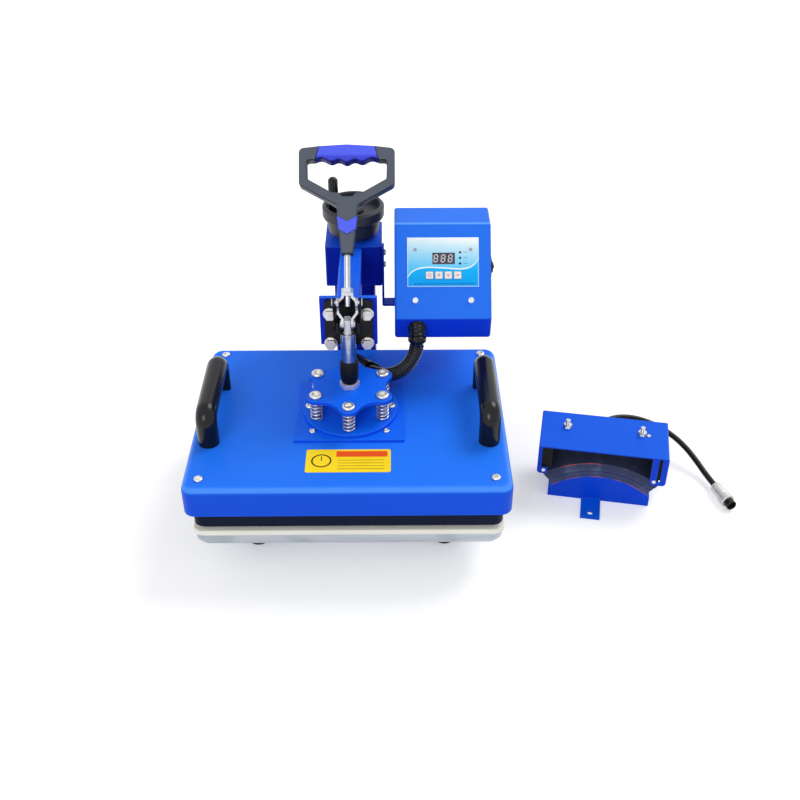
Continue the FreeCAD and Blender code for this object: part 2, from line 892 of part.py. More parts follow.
def spring_path():
    # Straight ends, a smooth lead into the coil, and quarter turns between.
    end_run = 2 * spring_wire_radius
    height = spring_space - seat_gap
    lead = math.radians(spring_lead_angle)
    sweep = 2 * math.pi * spring_turns
    climb = height - 2 * (end_run + spring_lead_rise)
    slope = climb / sweep

    def coil(angle):
        return V(spring_radius * math.cos(angle), spring_radius * math.sin(angle), end_run + spring_lead_rise
                 + slope * (angle - lead))

    def way(angle):
        return V(-spring_radius * math.sin(angle), spring_radius * math.cos(angle), slope).normalize()

    last = lead + sweep
    begin = V(spring_radius, 0, end_run)
    finish_angle = last + lead
    finish = V(spring_radius * math.cos(finish_angle), spring_radius * math.sin(finish_angle), height - end_run)
    edges = [Part.LineSegment(V(spring_radius, 0, 0), begin).toShape()]
    edges += biarc(begin, UP, coil(lead), way(lead))
    quarters = int(round(4 * spring_turns))
    for k in range(quarters):
        a = lead + sweep * k / quarters
        b = lead + sweep * (k + 1) / quarters
        edges += biarc(coil(a), way(a), coil(b), way(b))
    edges += biarc(coil(last), way(last), finish, UP)
    edges.append(Part.LineSegment(finish, finish + UP * end_run).toShape())
    pitch_gap = 2 * math.pi * slope - 2 * spring_wire_radius
    return edges, pitch_gap


def least_gap(edges, wire_radius):
    # Least distance between stretches of the wire that aren't neighbours.
    points = []
    travelled = 0.0
    for edge in edges:
        steps = 6
        for k in range(steps):
            span = edge.LastParameter - edge.FirstParameter
            points.append((travelled + edge.Length * k / steps, edge.valueAt(edge.FirstParameter + span * k / steps)))
        travelled += edge.Length
    apart = 2 * math.pi * spring_radius / 2
    best = travelled
    for k, (s, p) in enumerate(points):
        for t, q in points[k + 1:]:
            if abs(t - s) > apart:
                best = min(best, p.distanceToPoint(q))
    return best - 2 * wire_radius


def press_springs():
    edges, pitch_gap = spring_path()
    print("spring coil gap", round(pitch_gap, 2), "least gap on points", round(least_gap(edges, spring_wire_radius), 2))
    profile = Part.Wire(Part.makeCircle(spring_wire_radius, V(spring_radius, 0, 0), UP))
    coil = Part.Wire(Part.__sortEdges__(edges)).makePipeShell([profile], True, False)
    if coil.Volume < 0:
        coil.reverse()
    return [coil.translated(V(x, y, disc_top)) for x, y in star_bolt_places()]


def handle_section(x, y):
    # Crowned on the outside, flat towards the fingers, with small rounded corners.
    half = handle_width / 2
    inner = y + handle_depth
    far = handle_edge * (1 - math.sqrt(0.5))
    flat = half - handle_edge
    edges = [
        Part.Arc(V(x - half, y, cover_top), V(x, y - handle_crown, cover_top), V(x + half, y, cover_top)),
        Part.LineSegment(V(x + half, y, cover_top), V(x + half, inner - handle_edge, cover_top)),
        Part.Arc(V(x + half, inner - handle_edge, cover_top), V(x + half - far, inner - far, cover_top),
                 V(x + flat, inner, cover_top)),
        Part.LineSegment(V(x + flat, inner, cover_top), V(x - flat, inner, cover_top)),
        Part.Arc(V(x - flat, inner, cover_top), V(x - half + far, inner - far, cover_top),
                 V(x - half, inner - handle_edge, cover_top)),
        Part.LineSegment(V(x - half, inner - handle_edge, cover_top), V(x - half, y, cover_top)),
    ]
    return Part.Wire([e.toShape() for e in edges])


def side_handles():
    low = handle_center - handle_span / 2
    high = handle_center + handle_span / 2
    top = cover_top + handle_rise
    far = handle_bend * (1 - math.sqrt(0.5))
    handles = []
    for side in (-1, 1):
        x = side * handle_spacing / 2
        edges = [
            Part.LineSegment(V(x, low, cover_top), V(x, low, top - handle_bend)),
            Part.Arc(V(x, low, top - handle_bend), V(x, low + far, top - far), V(x, low + handle_bend, top)),
            Part.LineSegment(V(x, low + handle_bend, top), V(x, high - handle_bend, top)),
            Part.Arc(V(x, high - handle_bend, top), V(x, high - far, top - far), V(x, high, top - handle_bend)),
            Part.LineSegment(V(x, high, top - handle_bend), V(x, high, cover_top)),
        ]
        path = Part.Wire([e.toShape() for e in edges])
        handles.append(path.makePipeShell([handle_section(x, low)], True, False))
    return handles


def conduit_elbow():
    center = V(elbow_x, elbow_y, cover_top + elbow_rise)
    way = elbow_mouth()
    body = Part.makeSphere(elbow_radius, center)
    body = body.fuse([rod(center, way, elbow_radius, elbow_reach),
                      rod(V(elbow_x, elbow_y, cover_top), UP, elbow_stem_radius, elbow_rise)])
    bore = rod(center + way * elbow_floor, way, hose_radius + hose_float, elbow_reach + overrun)
    under = block(elbow_x - 2 * elbow_radius, elbow_x + 2 * elbow_radius, elbow_y - 2 * elbow_radius,
                  elbow_y + 2 * elbow_radius, cover_top - 2 * elbow_radius, cover_top)
    return body.cut([bore, under]).removeSplitter()


def lead_sleeve():
    lift = UP * (cover_top + sleeve_lead_radius)
    start = sleeve_lead_start + lift
    end = sleeve_lead_end + lift
    way = (end - start).normalize()
    body = rod(start, way, sleeve_lead_radius, (end - start).Length)
    body = body.fuse(Part.makeSphere(sleeve_lead_radius, start))
    tip = Part.makeCone(sleeve_lead_radius, sleeve_lead_tip_radius, sleeve_lead_tip, end, way)
    return body.fuse(tip).removeSplitter()


# Plunger and toggle

def star_plate():
    step = 2 * math.pi / star_bolt_count
    valley_gap = V(star_bolt_circle, 0, 0).distanceToPoint(
        V(star_valley_circle * math.cos(step / 2), star_valley_circle * math.sin(step / 2), 0))
    valley_radius = valley_gap - star_lobe_radius

    def polar(radius, angle):
        return V(radius * math.cos(angle), radius * math.sin(angle), star_bottom)

    def touch(lobe, valley):
        center = polar(star_bolt_circle, lobe)
        return center + (polar(star_valley_circle, valley) - center).normalize() * star_lobe_radius

    edges = []
    for k in range(star_bolt_count):
        lobe = k * step - math.pi / 2
        before = touch(lobe, lobe - step / 2)
        after = touch(lobe, lobe + step / 2)
        following = touch(lobe + step, lobe + step / 2)
        edges.append(Part.Arc(before, polar(star_bolt_circle + star_lobe_radius, lobe), after).toShape())
        edges.append(Part.Arc(after, polar(star_valley_circle - valley_radius, lobe + step / 2), following).toShape())
    plate = Part.Face(Part.Wire(edges)).extrude(UP * star_thickness)
    plate = plate.makeFillet(star_edge, edges_at(plate, star_top))
    holes = [rod(V(x, y, star_bottom - overrun), UP, star_bolt_radius + rest_gap, star_thickness + 2 * overrun)
             for x, y in star_bolt_places()]
    holes.append(rod(V(0, 0, star_bottom - overrun), UP, plunger_radius + bolt_clearance, star_thickness + 2 * overrun))
    return plate.cut(holes)


def plunger_rod():
    tang_low = barrel_top
    shaft = rod(V(0, 0, star_bottom), UP, plunger_radius, tang_low - star_bottom)
    tang_top = lever_pin_z + tang_rise
    tang = rod(V(0, 0, tang_low), UP, plunger_radius, tang_top - tang_low)
    flats = block(-tang_thickness / 2, tang_thickness / 2, -plunger_radius, plunger_radius, tang_low, tang_top)
    hole = rod(V(-plunger_radius, 0, lever_pin_z), RIGHT, lever_pin_radius, 2 * plunger_radius)
    shaft = shaft.fuse(tang.common(flats)).cut(hole).removeSplitter()
    reach = fork_foot + fork_thickness / 2 + link_gap
    pin = rod(V(-reach, 0, lever_pin_z), RIGHT, lever_pin_radius, 2 * reach)
    heads = [rod(V(side * reach, 0, lever_pin_z), RIGHT * side, lever_pin_head_radius, lever_pin_head)
             for side in (-1, 1)]
    nut = hex_nut(nut_flats, nut_height, plunger_radius).translated(UP * star_top)
    return [shaft, pin.fuse(heads).removeSplitter(), nut]


def coupler():
    # A bulged sleeve, widest above its middle.
    foot = V(coupler_foot_radius, 0, nut_top)
    belly = V(coupler_radius, 0, nut_top + coupler_height * coupler_belly_share)
    neck = V(coupler_neck_radius, 0, coupler_top)
    inner_top = V(plunger_radius, 0, coupler_top)
    inner_foot = V(plunger_radius, 0, nut_top)
    edges = [
        Part.Arc(foot, belly, neck).toShape(),
        Part.LineSegment(neck, inner_top).toShape(),
        Part.LineSegment(inner_top, inner_foot).toShape(),
        Part.LineSegment(inner_foot, foot).toShape(),
    ]
    body = Part.Face(Part.Wire(edges)).revolve(ORIGIN, UP, 360)
    rims = [e for e in edges_at(body, nut_top) + edges_at(body, coupler_top)
            if e.BoundBox.XLength > 2 * plunger_radius + coupler_edge]
    return body.makeFillet(coupler_edge, rims)


def guide_barrel():
    return ring(V(0, 0, barrel_bottom), UP, barrel_radius, plunger_radius + run_clearance, barrel_length)


def toggle_bolt_places():
    low = flange_bottom + toggle_bolt_rise
    x = max(ear_inner + ear_thickness + toggle_washer_radius, (arm_width + toggle_nut_flats) / 2) + toggle_bolt_gap
    return [(side * x, low + dz) for side in (-1, 1) for dz in (0.0, toggle_bolt_spacing_z)]


def link_pivot():
    return V(0, link_setback, lever_pin_z - link_drop)


def toggle_body():
    front = flange_setback - toggle_plate_thickness
    low = flange_bottom + (flange_height - toggle_plate_height) / 2
    plate = block(-toggle_plate_width / 2, toggle_plate_width / 2, front, flange_setback, low, low + toggle_plate_height)
    plate = plate.makeFillet(toggle_corner, edges_along(plate, BACK))
    web = block(-toggle_web / 2, toggle_web / 2, 0.0, front, low, low + toggle_web_height)
    web = web.cut(rod(V(0, 0, low - overrun), UP, barrel_radius, toggle_web_height + 2 * overrun))
    pivot = link_pivot()
    ears = []
    pins = []
    for side in (-1, 1):
        near = side * ear_inner
        far = side * (ear_inner + ear_thickness)
        ear = block(min(near, far), max(near, far), pivot.y - ear_nose, front, pivot.z - ear_height / 2,
                    pivot.z + ear_height / 2)
        ears.append(ear)
        reach = ear_inner + ear_thickness + 2 * link_gap + link_thickness
        pin = rod(V(near, pivot.y, pivot.z), RIGHT * side, link_pin_radius, reach - ear_inner)
        head = rod(V(side * reach, pivot.y, pivot.z), RIGHT * side, link_pin_radius + link_gap * 2, lever_pin_head)
        pins.append(pin.fuse(head))
    body = plate.fuse([web] + ears + pins).removeSplitter()
    holes = [rod(V(x, front - overrun, z), BACK, toggle_bolt_radius + bolt_clearance,
                 toggle_plate_thickness + 2 * overrun) for x, z in toggle_bolt_places()]
    return body.cut(holes)


def toggle_bolts():
    front = flange_setback - toggle_plate_thickness
    grip = toggle_plate_thickness + flange_thickness
    shank = grip + toggle_bolt_head + overrun
    pieces = []
    for x, z in toggle_bolt_places():
        head = rod(ORIGIN, UP, toggle_washer_radius, toggle_washer)
        head = head.fuse(hexagon(toggle_bolt_flats, toggle_bolt_head).translated(UP * toggle_washer))
        bolt = head.fuse(rod(-UP * shank, UP, toggle_bolt_radius, shank)).removeSplitter()
        pieces.append(placed(bolt, V(x, front, z), FRONT))
        nut = hex_nut(toggle_nut_flats, toggle_bolt_head, toggle_bolt_radius, toggle_nut_turn)
        pieces.append(placed(nut, V(x, flange_setback + flange_thickness, z), BACK))
    return pieces


def arm_tube():
    flange = block(-flange_width / 2, flange_width / 2, flange_setback, flange_setback + flange_thickness,
                   flange_bottom, arm_top)
    back = flange_setback + flange_thickness
    tube = block(-arm_width / 2, arm_width / 2, back, sleeve_front, arm_top - arm_height, arm_top)
    tube = tube.makeFillet(arm_wall, edges_along(tube, BACK))
    hollow = block(-arm_width / 2 + arm_wall, arm_width / 2 - arm_wall, back, sleeve_front + overrun,
                   arm_top - arm_height + arm_wall, arm_top - arm_wall)
    holes = [rod(V(x, flange_setback - overrun, z), BACK, toggle_bolt_radius + bolt_clearance,
                 flange_thickness + 2 * overrun) for x, z in toggle_bolt_places()]
    return flange.fuse(tube).cut([hollow] + holes).removeSplitter()


def toggle_links():
    pivot = link_pivot()
    reach = V(0, 0, lever_pin_z + link_reach)
    way = reach - V(0, pivot.y, pivot.z)
    length = way.Length
    links = []
    for side in (-1, 1):
        x = side * (ear_inner + ear_thickness + link_gap)
        ends = [rod(V(x, p.y, p.z), RIGHT * side, link_width / 2, link_thickness) for p in (pivot, reach)]
        depth = side * link_thickness
        bar = block(min(depth, 0.0), max(depth, 0.0), -link_width / 2, link_width / 2, 0.0, length)
        bar = placed(bar, V(x, pivot.y, pivot.z), way)
        link = bar.fuse(ends).removeSplitter()
        start = V(x - side * overrun, pivot.y, pivot.z)
        span = link_thickness + 2 * overrun
        pin_hole = rod(start, RIGHT * side, link_pin_radius + run_clearance, span)
        slack_hole = rod(V(x - side * overrun, reach.y, reach.z), RIGHT * side, fork_pin_radius + link_slack, span)
        links.append(link.cut([pin_hole, slack_hole]))
    return links


# Swing sleeve, handwheel and peg

def swing_sleeve():
    body = slab(sleeve_width, sleeve_width, sleeve_corner, sleeve_bottom, sleeve_top, column_shift, column_setback)
    bore = rod(V(column_shift, column_setback, sleeve_bottom - overrun), UP, post_radius + run_clearance,
               sleeve_height - sleeve_roof + overrun)
    stem = rod(V(column_shift, column_setback, sleeve_top - sleeve_roof - overrun), UP, stem_radius + stem_hole_gap,
               sleeve_roof + 2 * overrun)
    return body.cut([bore, stem])


def thrust_collar():
    return ring(V(column_shift, column_setback, collar_bottom), UP, collar_radius, stem_radius + stem_hole_gap, collar_height)


def handwheel():
    rim_low = wheel_top - wheel_rim_height
    lip = wheel_radius - wheel_lip
    hub_top = wheel_floor + wheel_hub_rise
    profile = [
        (stem_radius, wheel_bottom), (wheel_skirt_radius - wheel_edge, wheel_bottom),
        (wheel_skirt_radius, wheel_bottom + wheel_edge), (wheel_skirt_radius + wheel_edge, rim_low),
        (wheel_radius - wheel_edge / 2, rim_low), (wheel_radius, rim_low + wheel_edge),
        (wheel_radius, wheel_top - wheel_edge), (wheel_radius - wheel_edge, wheel_top),
        (lip + wheel_edge / 2, wheel_top), (lip, wheel_top - wheel_edge / 2), (lip - wheel_edge / 2, wheel_floor),
        (wheel_hub_radius, wheel_floor), (wheel_hub_radius, hub_top), (stem_radius, hub_top),
    ]
    points = [V(r, 0, z) for r, z in profile]
    bowl = Part.Face(Part.makePolygon(points + points[:1])).revolve(ORIGIN, UP, 360)
    pin = rod(V(-peg_offset, 0, wheel_floor), UP, peg_pin_radius, peg_height * peg_pin_share)
    return bowl.fuse(pin).removeSplitter().translated(V(column_shift, column_setback, 0))


def adjusting_screw():
    low = post_top - stem_engagement + overrun
    hub_top = wheel_floor + wheel_hub_rise
    top = hub_top + wheel_nut_height
    stem = rod(V(column_shift, column_setback, low), UP, stem_radius, top - low)
    nut = hex_nut(wheel_nut_flats, wheel_nut_height, stem_radius).translated(V(column_shift, column_setback, hub_top))
    return [stem, nut]


def crank_peg():
    low = wheel_floor + seat_gap
    peg = rod(V(column_shift - peg_offset, column_setback, low), UP, peg_radius, peg_height)
    peg = peg.makeFillet(peg_radius * 0.9, edges_at(peg, low + peg_height))
    bore = rod(V(column_shift - peg_offset, column_setback, low - overrun), UP, peg_pin_radius + run_clearance,
               peg_height * peg_pin_share + overrun + seat_gap)
    return peg.cut(bore)


# Lever

def leaned(shape):
    # The lever is drawn upright and leans back about its pin, as it stands when the press is open.
    return shape.rotated(V(0, 0, lever_pin_z), RIGHT, -lever_lean)


def lever_point(reach):
    angle = math.radians(lever_lean)
    return V(0, reach * math.sin(angle), lever_pin_z + reach * math.cos(angle))


def lever_fork():
    z = lever_pin_z
    half = fork_width / 2
    top = z + fork_top_rise
    path = [(fork_foot, z), (fork_foot, z + fork_foot_rise), (fork_belly, z + fork_belly_bottom),
            (fork_belly, z + fork_belly_top), (fork_neck, z + fork_neck_rise), (fork_neck, top)]
    strip = leaned(folded(path, fork_thickness, "xz", -half, half))
    inner = fork_foot - fork_thickness / 2
    foot = rod(V(inner, 0, z), RIGHT, half, fork_thickness)
    # A lug on each side carries the link pin, which stands straight above the lever pin.
    lug_x = fork_belly - fork_thickness / 2
    start = lever_point(fork_lug_rise)
    way = V(0, 0, z + link_reach) - start
    lug = placed(block(0.0, fork_thickness, -half, half, 0.0, way.Length), V(lug_x, start.y, start.z), way)
    eye = rod(V(lug_x, 0, z + link_reach), RIGHT, half, fork_thickness)
    pin_start = fork_belly + fork_thickness / 2
    pin_end = ear_inner + ear_thickness + 2 * link_gap + link_thickness
    pin = rod(V(pin_start, 0, z + link_reach), RIGHT, fork_pin_radius, pin_end - pin_start)
    head = rod(V(pin_end, 0, z + link_reach), RIGHT, fork_pin_head_radius, fork_pin_head)
    arm = strip.fuse([foot, lug, eye, pin, head]).removeSplitter()
    arm = arm.cut(rod(V(inner - overrun, 0, z), RIGHT, lever_pin_radius + run_clearance, fork_thickness + 2 * overrun))
    outer = fork_neck + fork_thickness / 2
    bridge = block(-outer, outer, -half, half, top, top + fork_bridge)
    bridge = leaned(bridge.cut(rod(V(0, 0, top - overrun), UP, rod_radius, fork_bridge + 2 * overrun)))
    return arm.fuse([mirrored(arm), bridge]).removeSplitter()


def lever_rod():
    top = lever_pin_z + fork_top_rise
    low = top - rod_tail
    stem = rod(V(0, 0, low), UP, rod_radius, grip_bottom + rod_socket - low)
    upper = hex_nut(rod_nut_flats, rod_nut_height, rod_radius).translated(UP * (top + fork_bridge))
    return [leaned(stem), leaned(upper)]


def grip_point(shares):
    return (shares[0] * grip_width, grip_bottom + shares[1] * grip_height)


def both_sides(half):
    return half + [(-x, z) for x, z in half[::-1]]


def chevron(extra):
    low = grip_bottom + (chevron_top_share - chevron_height_share) * grip_height
    high = grip_bottom + chevron_top_share * grip_height
    dip = chevron_dip_share * grip_height
    narrow = grip_outer_shares[1][0] * grip_width + chevron_proud
    wide = grip_outer_shares[2][0] * grip_width + chevron_proud
    points = [(narrow, low), (wide, high), (0.0, high - dip), (-wide, high), (-narrow, low), (0.0, low - dip)]
    return prism(points, "xz", -grip_depth / 2 - extra, grip_depth / 2 + extra)


def neck_core():
    return rod(V(0, 0, grip_bottom), UP, neck_core_radius, grip_height * chevron_top_share)


def grip_frame():
    half = grip_depth / 2
    outer = prism(both_sides([grip_point(s) for s in grip_outer_shares]), "xz", -half, half)
    inner_points = both_sides([grip_point(s) for s in grip_inner_shares])
    inner = prism(inner_points, "xz", -half - overrun, half + overrun)
    inner = inner.makeFillet(grip_edge, edges_along(inner, BACK))
    corners = [e for e in edges_along(outer, BACK) if e.BoundBox.ZMin > grip_bottom + grip_height / 2]
    outer = outer.makeFillet(2 * grip_edge, corners)
    frame = outer.cut(inner)
    faces = [e for e in frame.Edges if abs(abs(e.BoundBox.YMin) - half) < 1e-6
             and abs(e.BoundBox.YMax - e.BoundBox.YMin) < 1e-6]
    frame = frame.makeFillet(grip_edge * 0.7, faces)
    socket = rod(V(0, 0, grip_bottom - overrun), UP, rod_radius, rod_socket + overrun)
    sleeve = soft_sleeve(overrun).cut(bar_core())
    return leaned(frame.cut([socket, sleeve, below_core(), chevron(overrun).cut(neck_core())]))


def below_core():
    # Nothing of the rigid bar is left under the core, between the soft grip's slanted ends.
    end_x, end_z = grip_point(soft_grip_wave_shares[0])
    top_x, top_z = grip_point(soft_grip_top_shares[0])
    low = grip_bottom + soft_grip_core_shares[0] * grip_height
    x = end_x + (top_x - end_x) * (low - end_z) / (top_z - end_z)
    points = both_sides([(end_x, end_z - overrun), (end_x, end_z), (x, low)])
    return prism(points, "xz", -grip_depth / 2 - overrun, grip_depth / 2 + overrun)


def bar_core():
    # The rigid bar inside the soft grip.
    half = soft_grip_wave_shares[0][0] * grip_width + overrun
    depth = grip_depth / 2 - soft_grip_wall
    low, high = [grip_bottom + share * grip_height for share in soft_grip_core_shares]
    return block(-half, half, -depth, depth, low, high)


def soft_sleeve(extra):
    # The soft grip's outline: slanted ends, a crowned top and four finger hollows below.
    front = -grip_depth / 2 - extra
    half = [grip_point(s) for s in soft_grip_wave_shares]
    wave = half + [(-x, z) for x, z in half[-2::-1]]
    spline = Part.BSplineCurve()
    spline.interpolate([V(x, front, z) for x, z in wave])
    end, crown = [grip_point(s) for s in soft_grip_top_shares]
    top = Part.Arc(V(-end[0], front, end[1]), V(0, front, crown[1]), V(end[0], front, end[1]))
    left = Part.makeLine(V(wave[-1][0], front, wave[-1][1]), V(-end[0], front, end[1]))
    right = Part.makeLine(V(end[0], front, end[1]), V(wave[0][0], front, wave[0][1]))
    wire = Part.Wire([spline.toShape(), left, top.toShape(), right])
    return Part.Face(wire).extrude(BACK * (grip_depth + 2 * extra))


def soft_grip():
    body = soft_sleeve(soft_grip_proud)
    half = grip_depth / 2 + soft_grip_proud
    rims = [e for e in body.Edges if abs(abs(e.BoundBox.YMin) - half) < 1e-4
            and abs(e.BoundBox.YMax - e.BoundBox.YMin) < 1e-4 and e.BoundBox.XLength > grip_width / 4]
    body = body.makeFillet(soft_grip_round, rims)
    return [leaned(body.cut(bar_core())), leaned(chevron(chevron_proud).cut(neck_core()))]


# Control box

def box_profile(back):
    return [(back, box_roof), (box_brow, box_roof), (box_fold_y, box_fold_z), (box_toe, box_bottom),
            (back, box_bottom)]


def on_face(shape):
    # Leans a shape that was drawn on an upright face at the brow back onto the face.
    return shape.rotated(V(0, box_brow, box_roof), RIGHT, -box_face_tilt)


def below_brow(drop):
    return box_roof - drop


def box_inside():
    # The same outline drawn in by the wall, and open at the back.
    points = outline(box_profile(box_back + box_wall + overrun), "yz")
    face = Part.Face(Part.makePolygon(points + points[:1])).makeOffset2D(-box_wall)
    return face.extrude(RIGHT * (box_width - 2 * box_wall)).translated(RIGHT * (box_left + box_wall))


def panel_x(shift):
    return box_center + shift


def key_places():
    middle = (key_count - 1) / 2
    return [(panel_x(key_shift + (k - middle) * key_pitch), below_brow(key_drop))
            for k in range(key_count)]


def led_places():
    middle = (led_count - 1) / 2
    return [(panel_x(led_shift), below_brow(led_drop) + (k - middle) * led_pitch)
            for k in range(led_count)]


def panel_screw_places():
    z = below_brow(panel_screw_drop)
    return [(panel_x(side * panel_screw_spacing / 2), z) for side in (-1, 1)]


def box_screw_places():
    z = below_brow(box_screw_drop)
    return [(panel_x(side * box_screw_spacing / 2), z) for side in (-1, 1)]


def face_holes(low, high):
    # Everything that goes through the face of the box, cut between two depths.
    span = high - low
    cuts = []
    for x, z in key_places():
        half = key_width / 2 + key_gap
        cuts.append(block(x - half, x + half, low, high, z - half, z + half))
    x = panel_x(display_shift)
    z = below_brow(display_drop + display_height)
    cuts.append(block(x - display_width / 2, x + display_width / 2, low, high, z, z + display_height))
    for x, z in led_places():
        cuts.append(rod(V(x, low, z), BACK, led_radius, span))
    for x, z in panel_screw_places():
        cuts.append(rod(V(x, low, z), BACK, box_screw_radius / 2 + bolt_clearance, span))
    return cuts


def face_cuts(low, high):
    return [on_face(cut) for cut in face_holes(low, high)]


def chin_point():
    share = gland_rise / box_chin_height
    return V(box_left + gland_shift, box_toe - box_chin_undercut * share, box_bottom + gland_rise)


def chin_way():
    return V(0, -box_chin_height, -box_chin_undercut).normalize()


def switch_center():
    return V(box_left + box_width, box_toe + switch_setback, box_bottom + switch_rise)


def box_shell():
    outer = prism(box_profile(box_back), "yz", box_left, box_left + box_width)
    folds = [e for e in edges_along(outer, RIGHT) if e.BoundBox.YMax < box_back - box_wall]
    outer = outer.makeFillet(box_edge, folds)
    rims = [e for e in outer.Edges if e.BoundBox.XLength < 1e-6 and e.BoundBox.YMin < box_back - 1e-6]
    outer = outer.makeFillet(box_rim, rims)
    shell = outer.cut(box_inside())
    cuts = face_cuts(box_brow - overrun, box_brow + box_wall + overrun)
    for x, z in box_screw_places():
        hole = rod(V(x, box_brow - overrun, z), BACK, box_screw_radius + bolt_clearance, box_wall + 2 * overrun)
        cuts.append(on_face(hole))
    for x, y in shelf_screw_places():
        cuts.append(rod(V(x, y, box_bottom - overrun), UP, box_screw_radius + bolt_clearance, box_wall + 2 * overrun))
    c = switch_center()
    cuts.append(block(c.x - box_wall - overrun, c.x + overrun, c.y - switch_width / 2, c.y + switch_width / 2,
                      c.z - switch_length / 2, c.z + switch_length / 2))
    cuts.append(rod(chin_point() - chin_way() * 2 * overrun, chin_way(), hose_bore, 4 * overrun))
    return shell.cut(cuts)


def bracket_middle():
    return sleeve_front + bracket_inset + bracket_depth / 2


def shelf_screw_places():
    return [(box_left + bracket_shelf_length * share, bracket_middle()) for share in (0.3, 0.75)]


def box_rear():
    inset = box_wall + bolt_clearance
    panel = block(box_left + inset, box_left + box_width - inset, box_back - box_back_thickness, box_back,
                  box_bottom + inset, box_roof - inset)
    low = box_back - box_back_thickness - overrun
    span = box_back_thickness + 2 * overrun
    x = panel_x(inlet_shift)
    z = box_bottom + inlet_rise
    cuts = [block(x - inlet_width / 2, x + inlet_width / 2, low, low + span, z - inlet_height / 2,
                  z + inlet_height / 2)]
    cuts.append(rod(V(panel_x(socket_shift), low, box_bottom + socket_rise), BACK, socket_bore + inlet_wall / 2, span))
    return panel.cut(cuts)


def power_inlet():
    # Flush mains inlet in the rear panel: a walled recess with three flat pins.
    x = panel_x(inlet_shift)
    z = box_bottom + inlet_rise
    back = box_back + inlet_wall
    width = inlet_width / 2
    height = inlet_height / 2
    body = block(x - width, x + width, back - inlet_depth, back, z - height, z + height)
    frame = block(x - width - inlet_flange, x + width + inlet_flange, box_back, back,
                  z - height - inlet_flange, z + height + inlet_flange)
    recess = block(x - width + inlet_wall, x + width - inlet_wall, back - inlet_depth + inlet_wall, back + overrun,
                   z - height + inlet_wall, z + height - inlet_wall)
    body = body.fuse(frame).removeSplitter().cut(recess)
    pins = []
    floor = back - inlet_depth + inlet_wall
    for dx, dz in ((-1, -0.5), (0, 0.5), (1, -0.5)):
        px = x + dx * width / 2
        pz = z + dz * height / 2
        pins.append(block(px - inlet_pin / 2, px + inlet_pin / 2, floor, floor + inlet_pin_length,
                          pz - inlet_pin, pz + inlet_pin))
    return body.fuse(pins).removeSplitter()


def tool_socket():
    # Round panel socket for the plug of the cap tool.
    start = V(panel_x(socket_shift), box_back - socket_length / 2, box_bottom + socket_rise)
    neck = rod(start, BACK, socket_bore + inlet_wall / 2, socket_length)
    flange = rod(V(start.x, box_back, start.z), BACK, socket_radius + inlet_wall / 2, inlet_wall / 2)
    bore = rod(start + BACK * socket_floor, BACK, socket_bore, socket_length)
    return neck.fuse(flange).removeSplitter().cut(bore)


def panel_overlay():
    low = box_brow - panel_thickness
    z = below_brow(panel_drop + panel_height)
    sheet = block(box_center - panel_width / 2, box_center + panel_width / 2, low, box_brow, z, z + panel_height)
    return on_face(sheet).cut(face_cuts(low - overrun, box_brow + overrun))


def display_parts():
    front = box_brow - panel_thickness - display_proud
    back = box_brow + box_wall + board_setback
    x = panel_x(display_shift)
    z = below_brow(display_drop + display_height)
    window = block(x - display_width / 2, x + display_width / 2, front, back, z, z + display_height)
    pieces = [on_face(window)]
    for x, z in led_places():
        pieces.append(on_face(rod(V(x, front, z), BACK, led_radius, back - front)))
    return pieces


def circuit_board():
    low = box_brow + box_wall + board_setback
    high = low + board_thickness
    z = below_brow(panel_drop + panel_height)
    board = block(box_center - panel_width / 2 + board_margin, box_center + panel_width / 2 - board_margin, low, high,
                  z + board_margin, z + panel_height - board_margin)
    board = board.cut([rod(V(px, low - overrun, pz), BACK, box_screw_radius / 2 + bolt_clearance,
                           board_thickness + 2 * overrun) for px, pz in panel_screw_places()])
    posts = [ring(V(px, box_brow + box_wall, pz), BACK, board_post_radius, box_screw_radius / 2 + bolt_clearance,
                  board_setback) for px, pz in panel_screw_places()]
    return [on_face(piece) for piece in [board] + posts]


def key_cap(place):
    x, z = place
    front = box_brow - panel_thickness - key_proud
    back = box_brow + box_wall + board_setback - key_travel - seat_gap
    half = key_width / 2
    key = block(x - half, x + half, front, back, z - half, z + half)
    return on_face(key.makeFillet(key_edge, [e for e in key.Edges if e.BoundBox.YMax < front + 1e-6]))


def switch_housing():
    c = switch_center()
    back = c.x - switch_depth
    front = c.x + switch_proud
    width = switch_width / 2
    length = switch_length / 2
    body = block(back, front, c.y - width, c.y + width, c.z - length, c.z + length)
    frame = block(c.x, front, c.y - width - switch_bezel, c.y + width + switch_bezel,
                  c.z - length - switch_bezel, c.z + length + switch_bezel)
    hollow = block(back + switch_proud, front + overrun, c.y - width + switch_proud, c.y + width - switch_proud,
                   c.z - length + switch_proud, c.z + length - switch_proud)
    return body.fuse(frame).removeSplitter().cut(hollow)


def rocker():
    # A curved rocker that turns on an axis along Y, set in its off position.
    c = switch_center()
    pivot = V(c.x - switch_depth / 2 + rocker_gap, c.y, c.z)
    half = switch_width / 2 - switch_proud - rocker_gap
    reach = switch_length / 2 - switch_proud - rocker_gap
    wheel = rod(V(pivot.x, c.y - half, c.z), BACK, rocker_radius, 2 * half)
    keep = block(pivot.x, pivot.x + rocker_radius, c.y - half, c.y + half, c.z - reach * 0.93, c.z + reach * 0.93)
    notch = rod(V(pivot.x + 2 * rocker_radius - switch_proud, c.y - half - overrun, c.z), BACK, rocker_radius,
                2 * (half + overrun))
    cap = wheel.common(keep).cut(notch)
    axle = rod(V(pivot.x, c.y - half, c.z), BACK, switch_proud, 2 * half)
    cap = cap.fuse(axle).removeSplitter()
    return cap.rotated(pivot, BACK, rocker_tilt)


